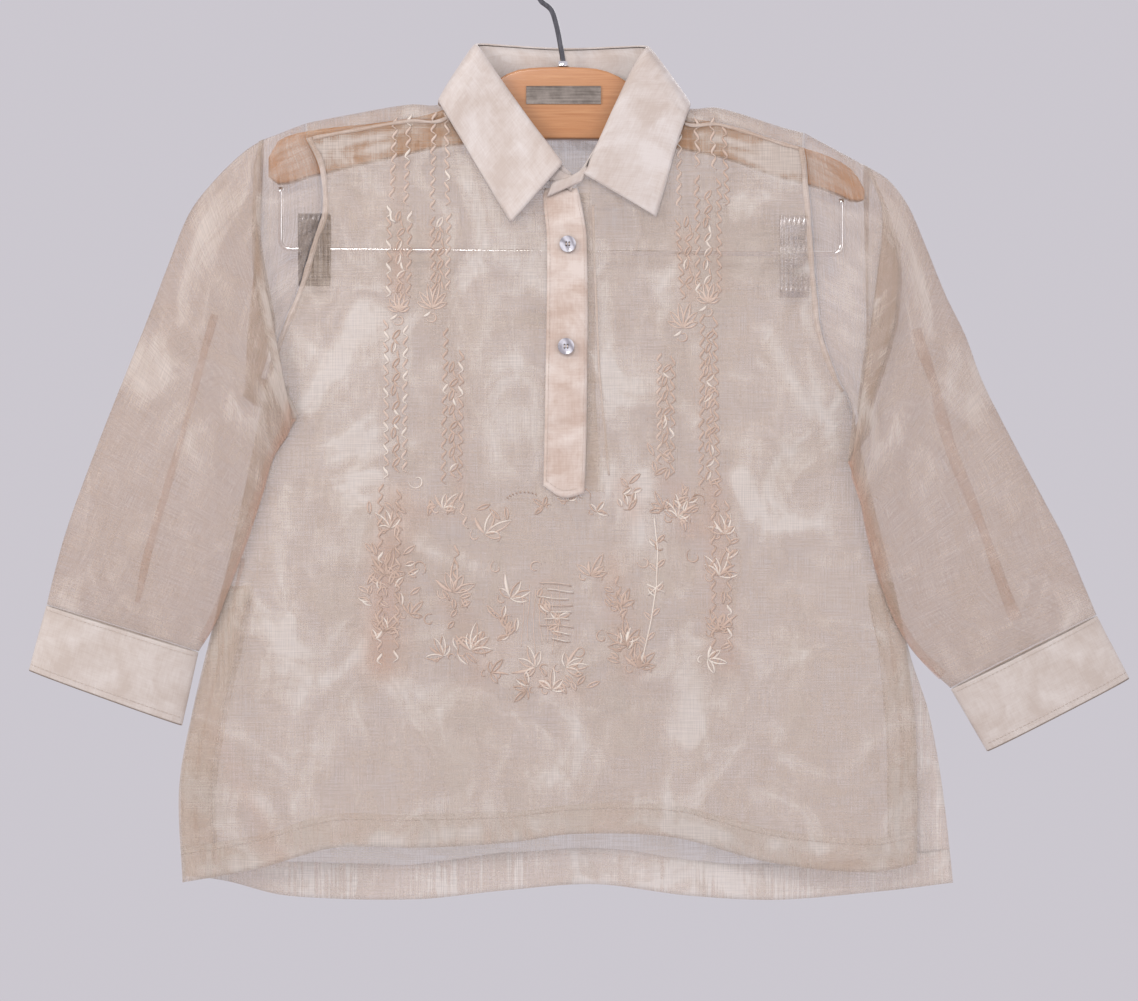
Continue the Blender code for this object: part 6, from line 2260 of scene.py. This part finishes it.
for side in ("left", "right"):
    REPLACED.append((sleeves[side], f"sleeve_{side}", "sheer_cloth"))
    REPLACED.append((cuffs[side], f"cuff_{side}", "stiff_cloth"))
    REPLACED.append((clip_pieces[side]["front"], f"clip_{side}_front", "clip_steel"))
    REPLACED.append((clip_pieces[side]["back"], f"clip_{side}_back", "clip_steel"))
    REPLACED.append((clip_pieces[side]["slide"], f"clip_{side}_slide", "chrome"))
for piece, cad_name, finish_slot in REPLACED:
    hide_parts(cad_name)

# %% [markdown]
# ### Each sheet's cut
#
# A sheet's flat size is what its pattern piece measures before it is sewn. The areas printed here
# are measured on the finished meshes, so the two can be compared.

# %% State each sheet's cut
front_trim = bands["front"] + seam_strips["front"] + [embroidery_piece, shadow_ply_piece, stitch_piece]
SHEETS = (
    (front, (0.53, 0.56), 0.233, "hung", [body], front_trim),
    (back, (0.57, 0.60), 0.267, "hung", [body], bands["back"]),
    (sleeves["left"], (0.40, 0.34), 0.093, "hung", [front, back], seam_strips["left"]),
    (sleeves["right"], (0.40, 0.36), 0.093, "hung", [front, back], seam_strips["right"]),
    (cuffs["left"], (0.25, 0.05), 0.0125, "hung", [sleeves["left"]], [rim_shade_cords[0]]),
    (cuffs["right"], (0.25, 0.05), 0.0125, "hung", [sleeves["right"]], [rim_shade_cords[1]]),
    (placket, (0.029, 0.217), None, "laid", [front], buttons + [button_thread_piece]),
    (placket_under, (0.036, 0.215), 0.0064, "laid", [front], []),
    (collar_stand, (0.40, 0.03), 0.0078, "stretched", [front, back], [upper_tab, lower_tab]),
    (collar_leaf, (0.45, 0.06), 0.0205, "folded", [collar_stand], []),
)
for piece, flat, area, held, under, trim in SHEETS:
    shown = sum(face.area for face in piece.data.polygons) / 2
    print(piece.name, "shows", round(shown, 4), "of", area or round(flat[0] * flat[1], 4), "square metres")

# %% [markdown]
# ## Light, floor and camera
#
# A pale even surround shows what sheer cloth is: its tone comes partly from what is behind it. Big
# soft lights from the front keep shadows gentle. The camera looks straight at the front from over
# two metres away, with a long lens, so the shirt isn't distorted.

# %% Surround and lights
scene.view_settings.view_transform = "Standard"
LIGHT_PATHS = {
    "transparent_max_bounces": 20,
    "max_bounces": 3,
    "diffuse_bounces": 1,
    "glossy_bounces": 1,
    "transmission_bounces": 1,
    "caustics_reflective": False,
    "caustics_refractive": False,
    "light_sampling_threshold": 0.05,
    "debug_use_spatial_splits": True,
}
for setting, value in LIGHT_PATHS.items():
    setattr(scene.cycles, setting, value)
world = bpy.data.worlds.new("pale_surround")
scene.world = world
world.use_nodes = True
surround = world.node_tree.nodes["Background"]
surround.inputs["Color"].default_value = (0.60, 0.575, 0.625, 1.0)
surround.inputs["Strength"].default_value = 1.0
world.cycles.sampling_method = "NONE"


def soft_light(name, place, target, size, power, colour=(1, 1, 1)):
    data = bpy.data.lights.new(name, "AREA")
    data.shape = "DISK"
    data.size = size
    data.energy = power
    data.color = colour
    made = bpy.data.objects.new(name, data)
    made.location = place
    made.rotation_euler = (Vector(target) - Vector(place)).to_track_quat("-Z", "Y").to_euler()
    scene.collection.objects.link(made)
    return made


soft_light("key_light", (-0.3, -1.9, 0.8), (0, 0, -0.35), 0.5, 10.2)
soft_light("side_light", (-1.7, -1.1, 0.5), (0, 0, -0.4), 0.8, 14.6, (1.0, 0.97, 0.94))
soft_light("fill_light", (1.6, -1.6, -0.3), (0, 0, -0.4), 1.4, 8.0, (0.97, 0.98, 1.0))
soft_light("back_light", (0.6, 2.0, 0.6), (0, 0, -0.4), 1.6, 12.0)

bpy.ops.object.select_all(action="DESELECT")
bpy.ops.mesh.primitive_circle_add(vertices=128, radius=1.5, fill_type="NGON", location=(0, 0, -1.3))
floor = fresh("floor")
floor_look, tree, shader = start_finish("pale_floor", 0.8)
dust = noise(tree, place_of(tree, "Object"), 6.0, 4.0)
tree.links.new(tint(tree, dust, (0.60, 0.58, 0.62), (0.66, 0.64, 0.67)), shader.inputs["Base Color"])
give(floor, floor_look)

# %% [markdown]
# ### Camera
#
# The lens is worked out from how wide a strip of the world has to fill the frame.

# %% Camera
camera_data = bpy.data.cameras.new("camera")
camera = bpy.data.objects.new("camera", camera_data)
scene.collection.objects.link(camera)
camera.location = (0.0043, -2.2, -0.392)
camera.rotation_euler = (math.pi / 2, 0, 0)
VIEW_WIDTH = 0.8194
camera_data.sensor_width = 36.0
camera_data.lens = 36.0 * (2.2 - 0.012) / VIEW_WIDTH
camera_data.dof.use_dof = False
scene.camera = camera
